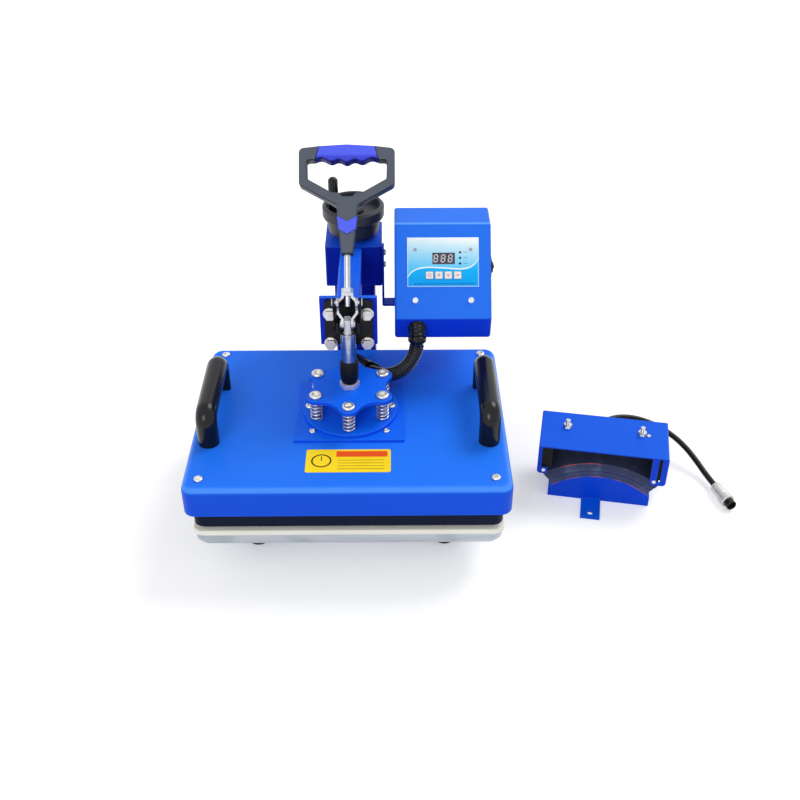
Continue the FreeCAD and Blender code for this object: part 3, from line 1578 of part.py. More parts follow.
def box_bracket():
    # A strap down the side of the sleeve with a shelf that the box stands on.
    low = box_bottom - bracket_thickness
    y_low = sleeve_front + bracket_inset
    y_high = y_low + bracket_depth
    top = sleeve_top - bracket_top_margin
    side = block(sleeve_side, sleeve_side + bracket_thickness, y_low, y_high, low, top)
    shelf = block(sleeve_side, box_left + bracket_shelf_length, y_low, y_high, low, box_bottom)
    body = side.fuse(shelf).removeSplitter()
    bend = [e for e in edges_along(body, BACK) if abs(e.BoundBox.XMax - sleeve_side) < 1e-6
            and abs(e.BoundBox.ZMax - low) < 1e-6]
    body = body.makeFillet(bracket_thickness, bend)
    cuts = [rod(V(sleeve_side - overrun, y, z), RIGHT, box_screw_radius + bolt_clearance,
                bracket_thickness + 2 * overrun) for y, z in bracket_screw_places()]
    cuts += [rod(V(x, y, low - overrun), UP, box_screw_radius + bolt_clearance,
                 bracket_thickness + 2 * overrun) for x, y in shelf_screw_places()]
    return body.cut(cuts)


def bracket_screw_places():
    top = sleeve_top - bracket_top_margin - bracket_screw_pitch / 2
    return [(bracket_middle(), top - k * bracket_screw_pitch) for k in range(2)]


def box_screws():
    screws = []
    screw = socket_screw(box_screw_head_radius, box_screw_head, box_screw_radius, box_screw_length)
    for x, z in box_screw_places():
        screws.append(on_face(placed(screw, V(x, box_brow, z), FRONT)))
    for x, y in shelf_screw_places():
        screws.append(placed(screw, V(x, y, box_bottom - bracket_thickness), -UP))
    for y, z in bracket_screw_places():
        stub = socket_screw(box_screw_head_radius, box_screw_head, box_screw_radius, bracket_thickness)
        screws.append(placed(stub, V(sleeve_side + bracket_thickness, y, z), RIGHT))
    reach = panel_thickness + box_wall + board_setback + board_thickness
    for x, z in panel_screw_places():
        pin = socket_screw(panel_screw_head_radius, panel_screw_head, box_screw_radius / 2, reach)
        screws.append(on_face(placed(pin, V(x, box_brow - panel_thickness, z), FRONT)))
    return screws


def gland_center():
    return chin_point() + chin_way() * gland_reach


def conduit_gland():
    # An elbow fitting: a collar on the chin, a round body and a grooved mouth that points down.
    start = chin_point()
    way = chin_way()
    center = gland_center()
    body = Part.makeSphere(gland_radius, center)
    body = body.fuse([rod(start, way, gland_neck_radius, gland_reach),
                      rod(start, way, gland_collar_radius, gland_collar),
                      rod(center, -UP, gland_radius, gland_length)]).removeSplitter()
    grooves = [ring(center - UP * (gland_length * share), -UP, gland_radius + overrun, gland_radius - gland_groove,
                    gland_groove) for share in (0.2, 0.45, 0.7)]
    bores = [rod(center + UP * hose_bore, -UP, hose_bore, hose_bore + gland_length + overrun),
             rod(start - way * overrun, way, hose_bore, gland_reach + overrun)]
    # The round body is cut off flat at the mouth.
    below = rod(center - UP * gland_length, -UP, gland_radius + overrun, gland_radius)
    return body.cut(grooves + bores + [below])


def hose_curve():
    start = gland_center() - UP * gland_length
    center = V(elbow_x, elbow_y, cover_top + elbow_rise)
    end = center + elbow_mouth() * (elbow_reach - hose_insert + elbow_floor)
    return [start, start - UP * hose_lead, end + elbow_mouth() * hose_tail, end]


def bezier(points, t):
    a, b, c, d = points
    s = 1 - t
    place = a * (s * s * s) + b * (3 * s * s * t) + c * (3 * s * t * t) + d * (t * t * t)
    way = (b - a) * (s * s) + (c - b) * (2 * s * t) + (d - c) * (t * t)
    return place, way.normalize()


def hose_circle(radius, place, way):
    # A circle square to the path, with one axis square to Y too.
    flat = way.cross(BACK).normalize()
    side = way.cross(flat)
    turn = FreeCAD.Matrix(flat.x, side.x, way.x, place.x, flat.y, side.y, way.y, place.y,
                          flat.z, side.z, way.z, place.z, 0, 0, 0, 1)
    circle = Part.makeCircle(radius)
    circle.Placement = FreeCAD.Placement(turn)
    return Part.Wire(circle)


def conduit():
    points = hose_curve()
    rib_shares = [(0.0, hose_valley), (0.3, hose_valley), (0.4, hose_radius), (0.9, hose_radius)]
    lead_share = 2 * hose_radius / (hose_lead + hose_tail) / 4
    rings = [hose_circle(hose_valley, *bezier(points, 0.0))]
    for k in range(hose_ribs):
        for share, radius in rib_shares:
            t = lead_share + (1 - 2 * lead_share) * (k + share) / hose_ribs
            rings.append(hose_circle(radius, *bezier(points, t)))
    rings.append(hose_circle(hose_valley, *bezier(points, 1 - lead_share)))
    rings.append(hose_circle(hose_valley, *bezier(points, 1.0)))
    body = Part.makeLoft(rings, True, True)
    steps = hose_ribs
    bores = [hose_circle(hose_bore, *bezier(points, k / steps)) for k in range(steps + 1)]
    first, first_way = bezier(points, 0.0)
    last, last_way = bezier(points, 1.0)
    bores = [hose_circle(hose_bore, first - first_way * overrun, first_way)] + bores
    bores.append(hose_circle(hose_bore, last + last_way * overrun, last_way))
    return body.cut(Part.makeLoft(bores, True, True))


# Cap tool, standing beside the press

def tool_placed(shape):
    turned = shape.rotated(ORIGIN, UP, tool_turn)
    return turned.translated(V(tool_x, tool_y, floor_z))


def form_radius():
    rise = form_apex - form_end
    half = form_length / 2
    return (half * half + rise * rise) / (2 * rise)


def arc_band(inner, outer, half_angle, y_low, y_high):
    # A curved sheet over the form, bent about an axis along Y.
    center = form_apex - form_radius()
    a = math.radians(half_angle)
    points = []
    for radius in (inner, outer):
        points.append([V(radius * math.sin(t), y_low, center + radius * math.cos(t)) for t in (-a, 0.0, a)])
    edges = [
        Part.Arc(*points[0]).toShape(),
        Part.LineSegment(points[0][2], points[1][2]).toShape(),
        Part.Arc(*points[1][::-1]).toShape(),
        Part.LineSegment(points[1][0], points[0][0]).toShape(),
    ]
    return Part.Face(Part.Wire(edges)).extrude(BACK * (y_high - y_low))


def stack_radii():
    pad_inner = form_radius()
    pad_outer = pad_inner + form_pad_thickness
    heater_inner = pad_outer + rest_gap
    heater_outer = heater_inner + heater_thickness
    return pad_inner, pad_outer, heater_inner, heater_outer, heater_outer + backing_thickness


def form_front():
    return -head_depth / 2 + form_front_inset


def form_body():
    half = form_length / 2
    front = form_front()

    def arch(length, end, apex, low, y_low, y_high):
        edges = [
            Part.LineSegment(V(-length, y_low, low), V(length, y_low, low)).toShape(),
            Part.LineSegment(V(length, y_low, low), V(length, y_low, end)).toShape(),
            Part.Arc(V(length, y_low, end), V(0, y_low, apex), V(-length, y_low, end)).toShape(),
            Part.LineSegment(V(-length, y_low, end), V(-length, y_low, low)).toShape(),
        ]
        return Part.Face(Part.Wire(edges)).extrude(BACK * (y_high - y_low))

    solid = arch(half, form_end, form_apex, 0.0, front, front + form_depth)
    hollow = arch(half - form_wall, form_end - form_wall, form_apex - form_wall, form_wall, front + form_wall,
                  front + form_depth + overrun)
    tab = block(tab_shift - tab_width / 2, tab_shift + tab_width / 2, front - tab_length, front, 0.0, tab_thickness)
    hole = rod(V(tab_shift, front - tab_length + tab_hole_inset, -overrun), UP, tab_hole_radius,
               tab_thickness + 2 * overrun)
    return solid.cut(hollow).fuse(tab).cut(hole).removeSplitter()


def form_pad():
    inner, outer = stack_radii()[:2]
    front = form_front()
    return arc_band(inner, outer, stack_half_angle, front, front + stack_depth)


def cap_heater():
    inner, outer = stack_radii()[2:4]
    front = form_front()
    return arc_band(inner, outer, stack_half_angle, front, front + stack_depth)


def cap_backing():
    inner, outer = stack_radii()[3:5]
    front = form_front()
    back = front + stack_depth
    plate = arc_band(inner, outer, stack_half_angle, front, back)
    middle = form_apex - form_radius() + (inner + outer) / 2
    boss = rod(V(0, back, middle), BACK, cord_gland_radius, cord_gland_length)
    boss = boss.makeChamfer(cord_gland_radius - cord_radius - rest_gap,
                            [e for e in boss.Edges if e.BoundBox.YMin > back + rest_gap])
    holes = [rod(V(x, stud_shift, stud_bottom()), UP, stud_radius, backing_thickness * 2) for x in stud_places()]
    return plate.fuse(boss).cut(holes).removeSplitter()


def stud_places():
    return [-stud_spacing / 2, stud_spacing / 2]


def stud_bottom():
    outer = stack_radii()[4]
    half = stud_spacing / 2
    return form_apex - form_radius() + math.sqrt(outer * outer - half * half) - stud_seat


def rivet_place():
    return V(stud_spacing / 2 + head_hole_shift, stud_shift - head_hole_drop, head_height - head_sheet)


def cap_studs():
    pieces = []
    low = stud_bottom()
    for x in stud_places():
        pieces.append(rod(V(x, stud_shift, low), UP, stud_radius, head_height + stud_tail - low))
        nut = hex_nut(stud_nut_flats, stud_nut_height, stud_radius)
        pieces.append(nut.translated(V(x, stud_shift, head_height)))
    shank = rod(rivet_place(), UP, head_hole_radius - bolt_clearance, head_sheet + head_rivet_height)
    head = rod(rivet_place() + UP * head_sheet, UP, head_rivet_radius, head_rivet_height)
    pieces.append(shank.fuse(head).removeSplitter())
    return pieces


def cap_bracket():
    # A folded channel, with flanges turned in at the front and rear of its walls.
    x = head_width / 2 - head_sheet / 2
    low = head_height - head_wall_height
    high = head_height - head_sheet / 2
    path = [(-x, low), (-x, high), (x, high), (x, low)]
    sheet = folded(path, head_sheet, "xz", -head_depth / 2, head_depth / 2)
    bends = [e for e in edges_along(sheet, BACK) if abs(e.BoundBox.XMax) > x + head_sheet / 4
             and e.BoundBox.ZMin > high]
    sheet = sheet.makeFillet(head_edge, bends)
    inner = head_width / 2 - head_sheet
    flanges = []
    cuts = []
    front = -head_depth / 2
    rear = head_depth / 2 - head_sheet
    top = head_height - head_sheet
    for sx, y, width in ((-1, front, head_flange), (1, front, head_slot_flange), (-1, rear, head_flange),
                         (1, rear, head_flange)):
        near = sx * inner
        far = sx * (inner - width)
        flange = block(min(near, far), max(near, far), y, y + head_sheet, low, top)
        inside = [e for e in edges_along(flange, BACK) if e.BoundBox.ZMax < low + 1e-6
                  and abs(e.BoundBox.XMin - far) < 1e-6]
        flanges.append(flange.makeFillet(head_flange_corner, inside))
        cuts.append(rod(V(far + sx * head_flange_hole_inset, y - overrun, low + head_flange_hole_rise), BACK,
                        head_flange_hole_radius, head_sheet + 2 * overrun))
    # The left front flange is a narrow rim with a foot, and the right front one has an open slot.
    cuts.append(block(head_rim - inner, head_flange + overrun - inner, front - overrun, front + head_sheet,
                      low + head_rim_rise, top))
    cuts.append(block(inner - head_slot_inset - head_slot_width, inner - head_slot_inset, front - overrun,
                      front + head_sheet, low + head_slot_rise, top))
    for sx in (-1, 1):
        heel = sx * (head_width / 2 - head_flange_corner)
        edge = sx * (head_width / 2 + overrun)
        bend = block(min(heel, edge), max(heel, edge), -head_depth, head_depth, low - overrun,
                     low + head_flange_corner)
        cuts.append(bend.cut(rod(V(heel, -head_depth, low + head_flange_corner), BACK, head_flange_corner,
                                 2 * head_depth)))
    sheet = sheet.fuse(flanges).removeSplitter()
    cuts += [rod(V(px, stud_shift, high - head_sheet), UP, stud_radius + bolt_clearance, 3 * head_sheet)
             for px in stud_places()]
    cuts.append(rod(rivet_place() - UP * overrun, UP, head_hole_radius, head_sheet + 2 * overrun))
    return sheet.cut(cuts)


def cord_exit():
    # Where the cord leaves the boss of the heater's backing, and its direction.
    inner, outer = stack_radii()[3:5]
    middle = form_apex - form_radius() + (inner + outer) / 2
    point = V(0, form_front() + stack_depth + cord_gland_length, middle)
    turn = FreeCAD.Rotation(UP, tool_turn)
    return turn.multVec(point) + V(tool_x, tool_y, floor_z), turn.multVec(BACK)


def cord_path(points):
    # Straight runs joined by tangent arcs as large as the runs allow.
    edges = []
    radii = []
    start = points[0]
    for k in range(1, len(points) - 1):
        before = points[k - 1] - points[k]
        after = points[k + 1] - points[k]
        turn = math.pi - before.getAngle(after)
        cut = cord_arc_share * min(before.Length, after.Length)
        radius = cut / math.tan(turn / 2)
        radii.append(round(radius))
        first = points[k] + before.normalize() * cut
        last = points[k] + after.normalize() * cut
        inward = (before + after).normalize()
        middle = points[k] + inward * (radius / math.cos(turn / 2) - radius)
        edges.append(Part.LineSegment(start, first).toShape())
        edges.append(Part.Arc(first, middle, last).toShape())
        start = last
    edges.append(Part.LineSegment(start, points[-1]).toShape())
    print("cord bend radii", radii)
    return Part.Wire(edges)


def cord_points():
    exit_point, way = cord_exit()
    return [exit_point] + cord_runs


def cap_cord():
    points = cord_points()
    path = cord_path(points)
    start_way = (points[1] - points[0]).normalize()
    profile = Part.Wire(Part.makeCircle(cord_radius, points[0], start_way))
    tube = path.makePipeShell([profile], True, False)
    section = math.pi * cord_radius * cord_radius
    print("cord length", round(path.Length, 1), "volume share", round(tube.Volume / (section * path.Length), 4))
    return tube


def cap_connector():
    # A turned plug: grip, knurled nut and nose, with a bore in the nose.
    points = cord_points()
    way = (points[-1] - points[-2]).normalize()
    nut_low = connector_grip_length
    nose_low = nut_low + connector_nut_length
    top = nose_low + connector_nose_length
    edge = connector_edge
    profile = [
        (0.0, 0.0), (connector_grip_radius - edge, 0.0), (connector_grip_radius, edge),
        (connector_grip_radius, nut_low), (connector_nut_radius - edge, nut_low),
        (connector_nut_radius, nut_low + edge), (connector_nut_radius, nose_low - edge),
        (connector_nut_radius - edge, nose_low), (connector_nose_radius, nose_low),
        (connector_nose_radius, top), (connector_bore_radius, top),
        (connector_bore_radius, top - connector_bore_depth), (0.0, top - connector_bore_depth),
    ]
    corner_points = outline(profile, "xz")
    face = Part.Face(Part.makePolygon(corner_points + corner_points[:1]))
    return placed(face.revolve(ORIGIN, UP, 360), points[-1], way)


os.makedirs("parts", exist_ok=True)
save("base_skids", base_skids())
save("base_crossbars", base_crossbars())
save("rubber_feet", rubber_feet())
save("column", [column()])
save("base_bolts", base_bolts())
save("lower_platen", [lower_platen()])
save("silicone_pad", [silicone_pad()])
save("heat_platen", [heat_platen()])
save("heating_element", [heating_element()])
save("insulation", [insulation()])
save("top_cover", [top_cover()])
save("square_plate", [square_plate()])
save("spring_disc", [spring_disc()])
save("platen_screws", platen_screws())
save("star_bolts", star_bolts())
save("press_springs", press_springs())
save("side_handles", side_handles())
save("conduit_elbow", [conduit_elbow(), lead_sleeve()])
save("star_plate", [star_plate()])
save("plunger_rod", plunger_rod())
save("coupler", [coupler()])
save("guide_barrel", [guide_barrel()])
save("toggle_body", [toggle_body()])
save("toggle_bolts", toggle_bolts())
save("arm_tube", [arm_tube()])
save("toggle_links", toggle_links())
save("swing_sleeve", [swing_sleeve()])
save("thrust_collar", [thrust_collar()])
save("handwheel", [handwheel()])
save("adjusting_screw", adjusting_screw())
save("crank_peg", [crank_peg()])
save("lever_fork", [lever_fork()])
save("lever_rod", lever_rod())
save("grip_frame", [grip_frame()])
save("soft_grip", soft_grip())
save("box_shell", [box_shell()])
save("box_rear", [box_rear()])
save("box_bracket", [box_bracket()])
save("box_screws", box_screws())
save("panel_overlay", [panel_overlay()])
save("display_parts", display_parts())
save("circuit_board", circuit_board())
for number, place in enumerate(key_places(), 1):
    save("panel_key_" + str(number), [key_cap(place)])
save("switch_housing", [switch_housing()])
save("power_rocker", [rocker()])
save("rear_sockets", [power_inlet(), tool_socket()])
save("conduit_gland", [conduit_gland()])
save("conduit", [conduit()])
save("form_body", [tool_placed(form_body())])
save("form_pad", [tool_placed(form_pad())])
save("cap_heater", [tool_placed(cap_heater())])
save("cap_backing", [tool_placed(cap_backing())])
save("cap_studs", [tool_placed(piece) for piece in cap_studs()])
save("cap_bracket", [tool_placed(cap_bracket())])
save("cap_cord", [cap_cord()])
save("cap_connector", [cap_connector()])
print("cord exit", cord_exit()[0], "floor", floor_z)
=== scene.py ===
import math

import bmesh
import bpy
from mathutils import Matrix, Vector


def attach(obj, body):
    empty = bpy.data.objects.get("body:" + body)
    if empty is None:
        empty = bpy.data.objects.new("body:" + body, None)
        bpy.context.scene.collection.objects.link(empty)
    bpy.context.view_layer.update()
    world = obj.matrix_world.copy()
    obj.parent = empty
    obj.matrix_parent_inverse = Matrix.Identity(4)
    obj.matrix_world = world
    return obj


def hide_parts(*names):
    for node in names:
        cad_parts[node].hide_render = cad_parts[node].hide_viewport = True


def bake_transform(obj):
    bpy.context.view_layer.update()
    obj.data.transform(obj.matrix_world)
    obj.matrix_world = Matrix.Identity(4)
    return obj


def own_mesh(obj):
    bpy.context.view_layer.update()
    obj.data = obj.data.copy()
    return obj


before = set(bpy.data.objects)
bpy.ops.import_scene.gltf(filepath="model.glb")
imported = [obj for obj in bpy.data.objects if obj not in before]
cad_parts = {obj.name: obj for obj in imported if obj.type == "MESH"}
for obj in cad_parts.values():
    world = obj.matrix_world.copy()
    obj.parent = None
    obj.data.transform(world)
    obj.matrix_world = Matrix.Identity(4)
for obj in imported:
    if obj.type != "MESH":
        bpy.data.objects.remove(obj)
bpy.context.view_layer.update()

scene = bpy.context.scene
scene.view_settings.view_transform = "Standard"

# Lengths are in millimetres where they go through mm or MM, and in metres elsewhere.
TINY = 1e-6
MM = 0.001


def mm(x, y, z):
    return Vector((x, y, z)) * MM


# The control box's face leans back: local Y runs up the face from the brow, local Z stands off it.
FACE_LEAN = math.radians(51.6)
FACE = Matrix.Translation(mm(0, 146, 269.5)) @ Matrix.Rotation(FACE_LEAN, 4, "X")

# The cap tool stands on the floor and is turned a little.
TOOL_YAW = math.radians(-10.5)
TOOL = Matrix.Translation(mm(341, 24, -70)) @ Matrix.Rotation(TOOL_YAW, 4, "Z")
# Its pads curve about an axis below the floor, to the same angle on each side.
ARC_RISE = -60.92
ARC_HALF = math.radians(38)

# The cap tool's cord runs from its exit behind the heater to the plug, which lies on the floor.
CORD_ROUTE = [(0.34838, 0.06382, -0.0096), (0.3526, 0.0840, -0.0110), (0.3660, 0.1000, -0.0150),
              (0.3870, 0.1085, -0.0185), (0.4110, 0.1090, -0.0235), (0.4345, 0.1015, -0.0300),
              (0.4550, 0.0890, -0.0375), (0.4714, 0.0715, -0.0460), (0.4835, 0.0505, -0.0545),
              (0.4924, 0.0271, -0.0608), (0.4991, 0.0041, -0.0608)]
PLUG_WAY = Vector((0.2797, -0.9601, 0.0))
PLUG = Matrix.Translation(CORD_ROUTE[-1]) @ PLUG_WAY.to_track_quat("Z", "Y").to_matrix().to_4x4()
CORD_RADIUS = 0.004

# The lever stands open and leans back about its pin: local Z runs up the lever.
LEVER = Matrix.Translation(mm(0, 0, 207)) @ Matrix.Rotation(math.radians(-38), 4, "X")

# The hose leaves the gland's mouth straight down and bends over to the elbow on the cover.
HOSE_TOP = mm(87, 56.86, 145.70)
HOSE_LEAVE = HOSE_TOP - mm(0, 0, 30)
HOSE_REACH = mm(63.92, 36.08, 88.0)
HOSE_END = mm(17.96, 74.64, 88.0)
HOSE_BORE = 6.8
BORE_STEPS = 24

# The sticker lies on the cover, in front of the star.
LABEL_LOW = (-52, -122, 72.5)
LABEL_HIGH = (52, -78, 72.66)

FLOOR_RISE = -0.0701


def set_camera():
    """The camera at the photograph's viewing angle."""
    data = bpy.data.cameras.new("camera")
    data.sensor_width = 36.0
    data.lens = 47.40
    camera = bpy.data.objects.new("camera", data)
    camera.location = (0.0545, -1.1, 0.8874)
    camera.rotation_euler = (math.radians(54.11), 0.0, math.radians(-0.5))
    scene.collection.objects.link(camera)
    scene.camera = camera


def lay_cord():
    """The cap tool's cord as a round tube along its route."""
    data = bpy.data.curves.new("cap_lead", "CURVE")
    data.dimensions = "3D"
    data.bevel_depth = CORD_RADIUS
    data.bevel_resolution = 6
    data.resolution_u = 12
    data.use_fill_caps = True
    spline = data.splines.new("NURBS")
    spline.points.add(len(CORD_ROUTE) - 1)
    for point, place in zip(spline.points, CORD_ROUTE):
        point.co = (*place, 1.0)
    spline.order_u = 3
    spline.use_endpoint_u = True
    lead = bpy.data.objects.new("cap_lead", data)
    scene.collection.objects.link(lead)
    return lead


set_camera()
cap_lead = lay_cord()


# Finishes

def srgb(r, g, b):
    """A colour as it is seen on a screen, 0 to 255, in the shader's linear numbers."""
    parts = [v / 255 for v in (r, g, b)]
    return tuple(v / 12.92 if v <= 0.04045 else ((v + 0.055) / 1.055) ** 2.4 for v in parts) + (1.0,)


def shade(color, share):
    """A colour made darker or paler by a share."""
    return tuple(min(1.0, v * share) for v in color[:3]) + (1.0,)


class Value:
    """A number that changes over a surface: one socket, with the operators that the finishes use."""

    def __init__(self, finish, socket):
        self.finish = finish
        self.socket = socket

    def math(self, operation, first, second=0.0):
        return self.finish.add("Math", {"operation": operation}, {0: first, 1: second})

    def __add__(self, other):
        return self.math("ADD", self, other)

    def __radd__(self, other):
        return self.math("ADD", other, self)

    def __sub__(self, other):
        return self.math("SUBTRACT", self, other)

    def __rsub__(self, other):
        return self.math("SUBTRACT", other, self)

    def __mul__(self, other):
        return self.math("MULTIPLY", self, other)

    def __rmul__(self, other):
        return self.math("MULTIPLY", other, self)

    def __abs__(self):
        return self.math("ABSOLUTE", self)

    def __pow__(self, other):
        return self.math("POWER", self, other)

    def __lt__(self, other):
        return self.math("LESS_THAN", self, other)

    def __gt__(self, other):
        return self.math("GREATER_THAN", self, other)


class Finish:
    """The nodes of one material, on the piece's own Object coordinates, or those of the room."""

    def __init__(self, name, room=None):
        self.material = room or bpy.data.materials.new(name)
        self.material.use_nodes = True
        self.tree = self.material.node_tree
        self.tree.nodes.clear()
        self.place = self.add("TexCoord", out="Object")

    def add(self, kind, settings=None, sockets=None, out=0):
        node = self.tree.nodes.new("ShaderNode" + kind)
        for name, setting in (settings or {}).items():
            if name == "stops":
                ramp = node.color_ramp
                while len(ramp.elements) < len(setting):
                    ramp.elements.new(1.0)
                for stop, (where, color) in zip(ramp.elements, setting):
                    stop.position = where
                    stop.color = color
            elif name == "points":
                line = node.mapping.curves[0].points
                while len(line) < len(setting):
                    line.new(0.5, 0.5)
                for point, where in zip(line, setting):
                    point.location = where
                node.mapping.update()
            else:
                setattr(node, name, setting)
        for name, value in (sockets or {}).items():
            if isinstance(value, Value):
                self.tree.links.new(value.socket, node.inputs[name])
            else:
                node.inputs[name].default_value = value
        return Value(self, node.outputs[out]) if len(node.outputs) else None

    def noise(self, scale, detail=3.0, place=None):
        return self.add("TexNoise", None, {"Vector": place or self.place, "Scale": scale, "Detail": detail})

    def span(self, value, low, high):
        return self.add("MapRange", {"interpolation_type": "SMOOTHSTEP"},
                        {"Value": value, "From Min": low, "From Max": high})

    def mix(self, share, first, second):
        return self.add("Mix", {"data_type": "RGBA"}, {0: share, 6: first, 7: second}, out=2)

    def frame(self, location, rotation=(0.0, 0.0, 0.0), scale=(1.0, 1.0, 1.0)):
        """Object coordinates seen from a frame of the piece's own."""
        return self.add("Mapping", {"vector_type": "TEXTURE"},
                        {"Vector": self.place, "Location": location, "Rotation": rotation, "Scale": scale})

    def parts(self, vector):
        return [self.add("SeparateXYZ", None, {0: vector}, out=k) for k in range(3)]

    def facing(self):
        return self.parts(self.add("NewGeometry", out="Normal"))

    def edge(self, size):
        """Near 1 on outer and inner edges, from the difference between the rounded and the plain normal."""
        soft = self.add("Bevel", {"samples": 4}, {"Radius": size})
        plain = self.add("NewGeometry", out="Normal")
        match = self.add("VectorMath", {"operation": "DOT_PRODUCT"}, {0: soft, 1: plain}, out="Value")
        return self.span(1 - match, 0.01, 0.22)

    def inside(self, value, low, high, soft):
        return self.span(value, low - soft, low + soft) * (1 - self.span(value, high - soft, high + soft))

    def surface(self, color, rough, height=None, depth=0.0001, rounded=0.0005, **constants):
        sockets = {"Base Color": color, "Roughness": rough}
        normal = self.add("Bevel", {"samples": 4}, {"Radius": rounded}) if rounded else None
        if height is not None:
            relief = {"Strength": 1.0, "Distance": depth, "Height": height}
            if normal is not None:
                relief["Normal"] = normal
            normal = self.add("Bump", None, relief)
        if normal is not None:
            sockets["Normal"] = normal
        for name, value in constants.items():
            sockets[name.replace("_", " ")] = value
        shader = self.add("BsdfPrincipled", None, sockets)
        self.add("OutputMaterial", None, {"Surface": shader})
        return self.material


def blue_paint(name, color, lit_upper, rough=0.36, shade_inside=False, fold=0.0, brow=0.0):
    """Powder coat: a fine orange peel, a slow drift of tone, a paler painted-light tone on upward faces,
    paler edges that are partly wear and partly painted highlight, and painted highlights along folds where
    asked.
    """
    f = Finish(name)
    drift = f.noise(7.0, 4.0)
    speck = f.noise(1400.0, 2.0)
    tone = f.mix(drift, shade(color, 0.9), shade(color, 1.08))
    # Painted light: upward faces are painted in the paler upper tone, as if lit from above.
    up = f.span(f.facing()[2], 0.0, 0.6)
    tone = f.mix(up * (0.8 + 0.4 * (drift - 0.5)), tone, lit_upper)
    # Edges painted paler: partly paint worn thin at the edges, partly a painted highlight along them.
    tone = f.mix(f.edge(0.0012) * 0.35, tone, srgb(84, 156, 250))
    # Painted highlight along the rounded top fold, on faces between upward and forward.
    if fold:
        tone = f.mix(f.inside(f.facing()[2], 0.4, 0.9, 0.12) * fold, tone, srgb(96, 164, 255))
    # Painted highlight: a thin pale line along the brow fold of the box face.
    if brow:
        _, climb, _ = f.parts(f.frame(FACE.translation, (FACE_LEAN, 0.0, 0.0)))
        tone = f.mix((1 - f.span(abs(climb), 0.0007, 0.002)) * brow, tone, srgb(120, 186, 255))
    tone = f.mix(f.span(speck, 0.66, 0.8) * 0.12, tone, shade(color, 0.6))
    gloss = rough + 0.12 * (drift - 0.5) + 0.08 * (speck - 0.5)
    # Painted shade on the inner faces, with streaks of painted reflection.
    if shade_inside:
        tone, gloss = painted_shade_inside(f, tone, gloss)
    return f.surface(tone, gloss, f.noise(420.0, 2.0), 0.00006, Specular_IOR_Level=0.1)


def painted_shade_inside(f, tone, gloss):
    """The folded bracket's inner faces: painted shade, near black, with pale streaks of painted reflection.
    """
    across, _, rise = f.parts(f.frame(TOOL.translation, (0.0, 0.0, TOOL_YAW)))
    turned = f.add("Mapping", {"vector_type": "TEXTURE"},
                   {"Vector": f.add("NewGeometry", out="Normal"), "Rotation": (0.0, 0.0, TOOL_YAW)})
    side, _, top = f.parts(turned)
    inner = (side * across < -0.02) + (top < -0.5) * (rise > 0.07)
    reflection_streak = f.noise(26.0, 3.0, f.frame((0, 0, 0), (0.0, 0.0, TOOL_YAW), (1.0, 1.0, 6.0)))
    dark = f.mix(f.span(reflection_streak, 0.5, 0.75), srgb(16, 18, 26), srgb(112, 120, 136))
    return f.mix(inner, tone, dark), gloss + 0.05 * inner


def moulded(name, color, rough=0.4, grain=900.0, depth=0.00005, worn=0.25, pale=None, drift_scale=14.0,
            drift_share=0.16, shine=0.25):
    """Moulded plastic or rubber: a fine grain, a slow drift of tone and rubbed edges."""
    f = Finish(name)
    drift = f.noise(drift_scale, 4.0)
    fine = f.noise(grain, 3.0)
    tone = f.mix(drift, shade(color, 1.0 - drift_share), shade(color, 1.0 + drift_share))
    tone = f.mix(f.edge(0.001) * worn, tone, pale or shade(color, 2.2))
    gloss = rough + 0.15 * (drift - 0.5) + 0.12 * (fine - 0.5)
    return f.surface(tone, gloss, fine, depth, Specular_IOR_Level=shine)


def lever_moulding(name, front, top, under, rough, shine, fingers=None):
    """Moulding on the lever: its own tone in front, with light and shade painted by facing: a painted tone on
    top, painted shade beneath and on the sides, and a darker band of painted shade across the finger hollows.
    """
    f = Finish(name)
    turned = f.add("Mapping", {"vector_type": "TEXTURE"},
                   {"Vector": f.add("TexCoord", out="Normal"), "Rotation": LEVER.to_euler()})
    across, _, rise = f.parts(turned)
    cloud = f.noise(26.0, 4.0)
    fine = f.noise(900.0, 3.0)
    tone = f.mix(cloud, shade(front, 0.88), shade(front, 1.12))
    # Painted shade: a darker band across the finger hollows.
    if fingers:
        _, _, height = f.parts(f.frame(LEVER.translation, LEVER.to_euler()))
        tone = f.mix(f.inside(height, 0.19, 0.2055, 0.0025) * 0.7, tone, fingers)
    # Painted light by facing: painted shade on the sides and beneath, and a painted tone on top.
    tone = f.mix(f.span(abs(across), 0.5, 0.95), tone, under)
    tone = f.mix(f.span(rise, 0.2, 0.75), tone, top)
    tone = f.mix(f.span(-1 * rise, 0.2, 0.75), tone, under)
    gloss = rough + 0.14 * (cloud - 0.5) + 0.12 * (fine - 0.5)
    return f.surface(tone, gloss, fine, 0.00008, Specular_IOR_Level=shine)


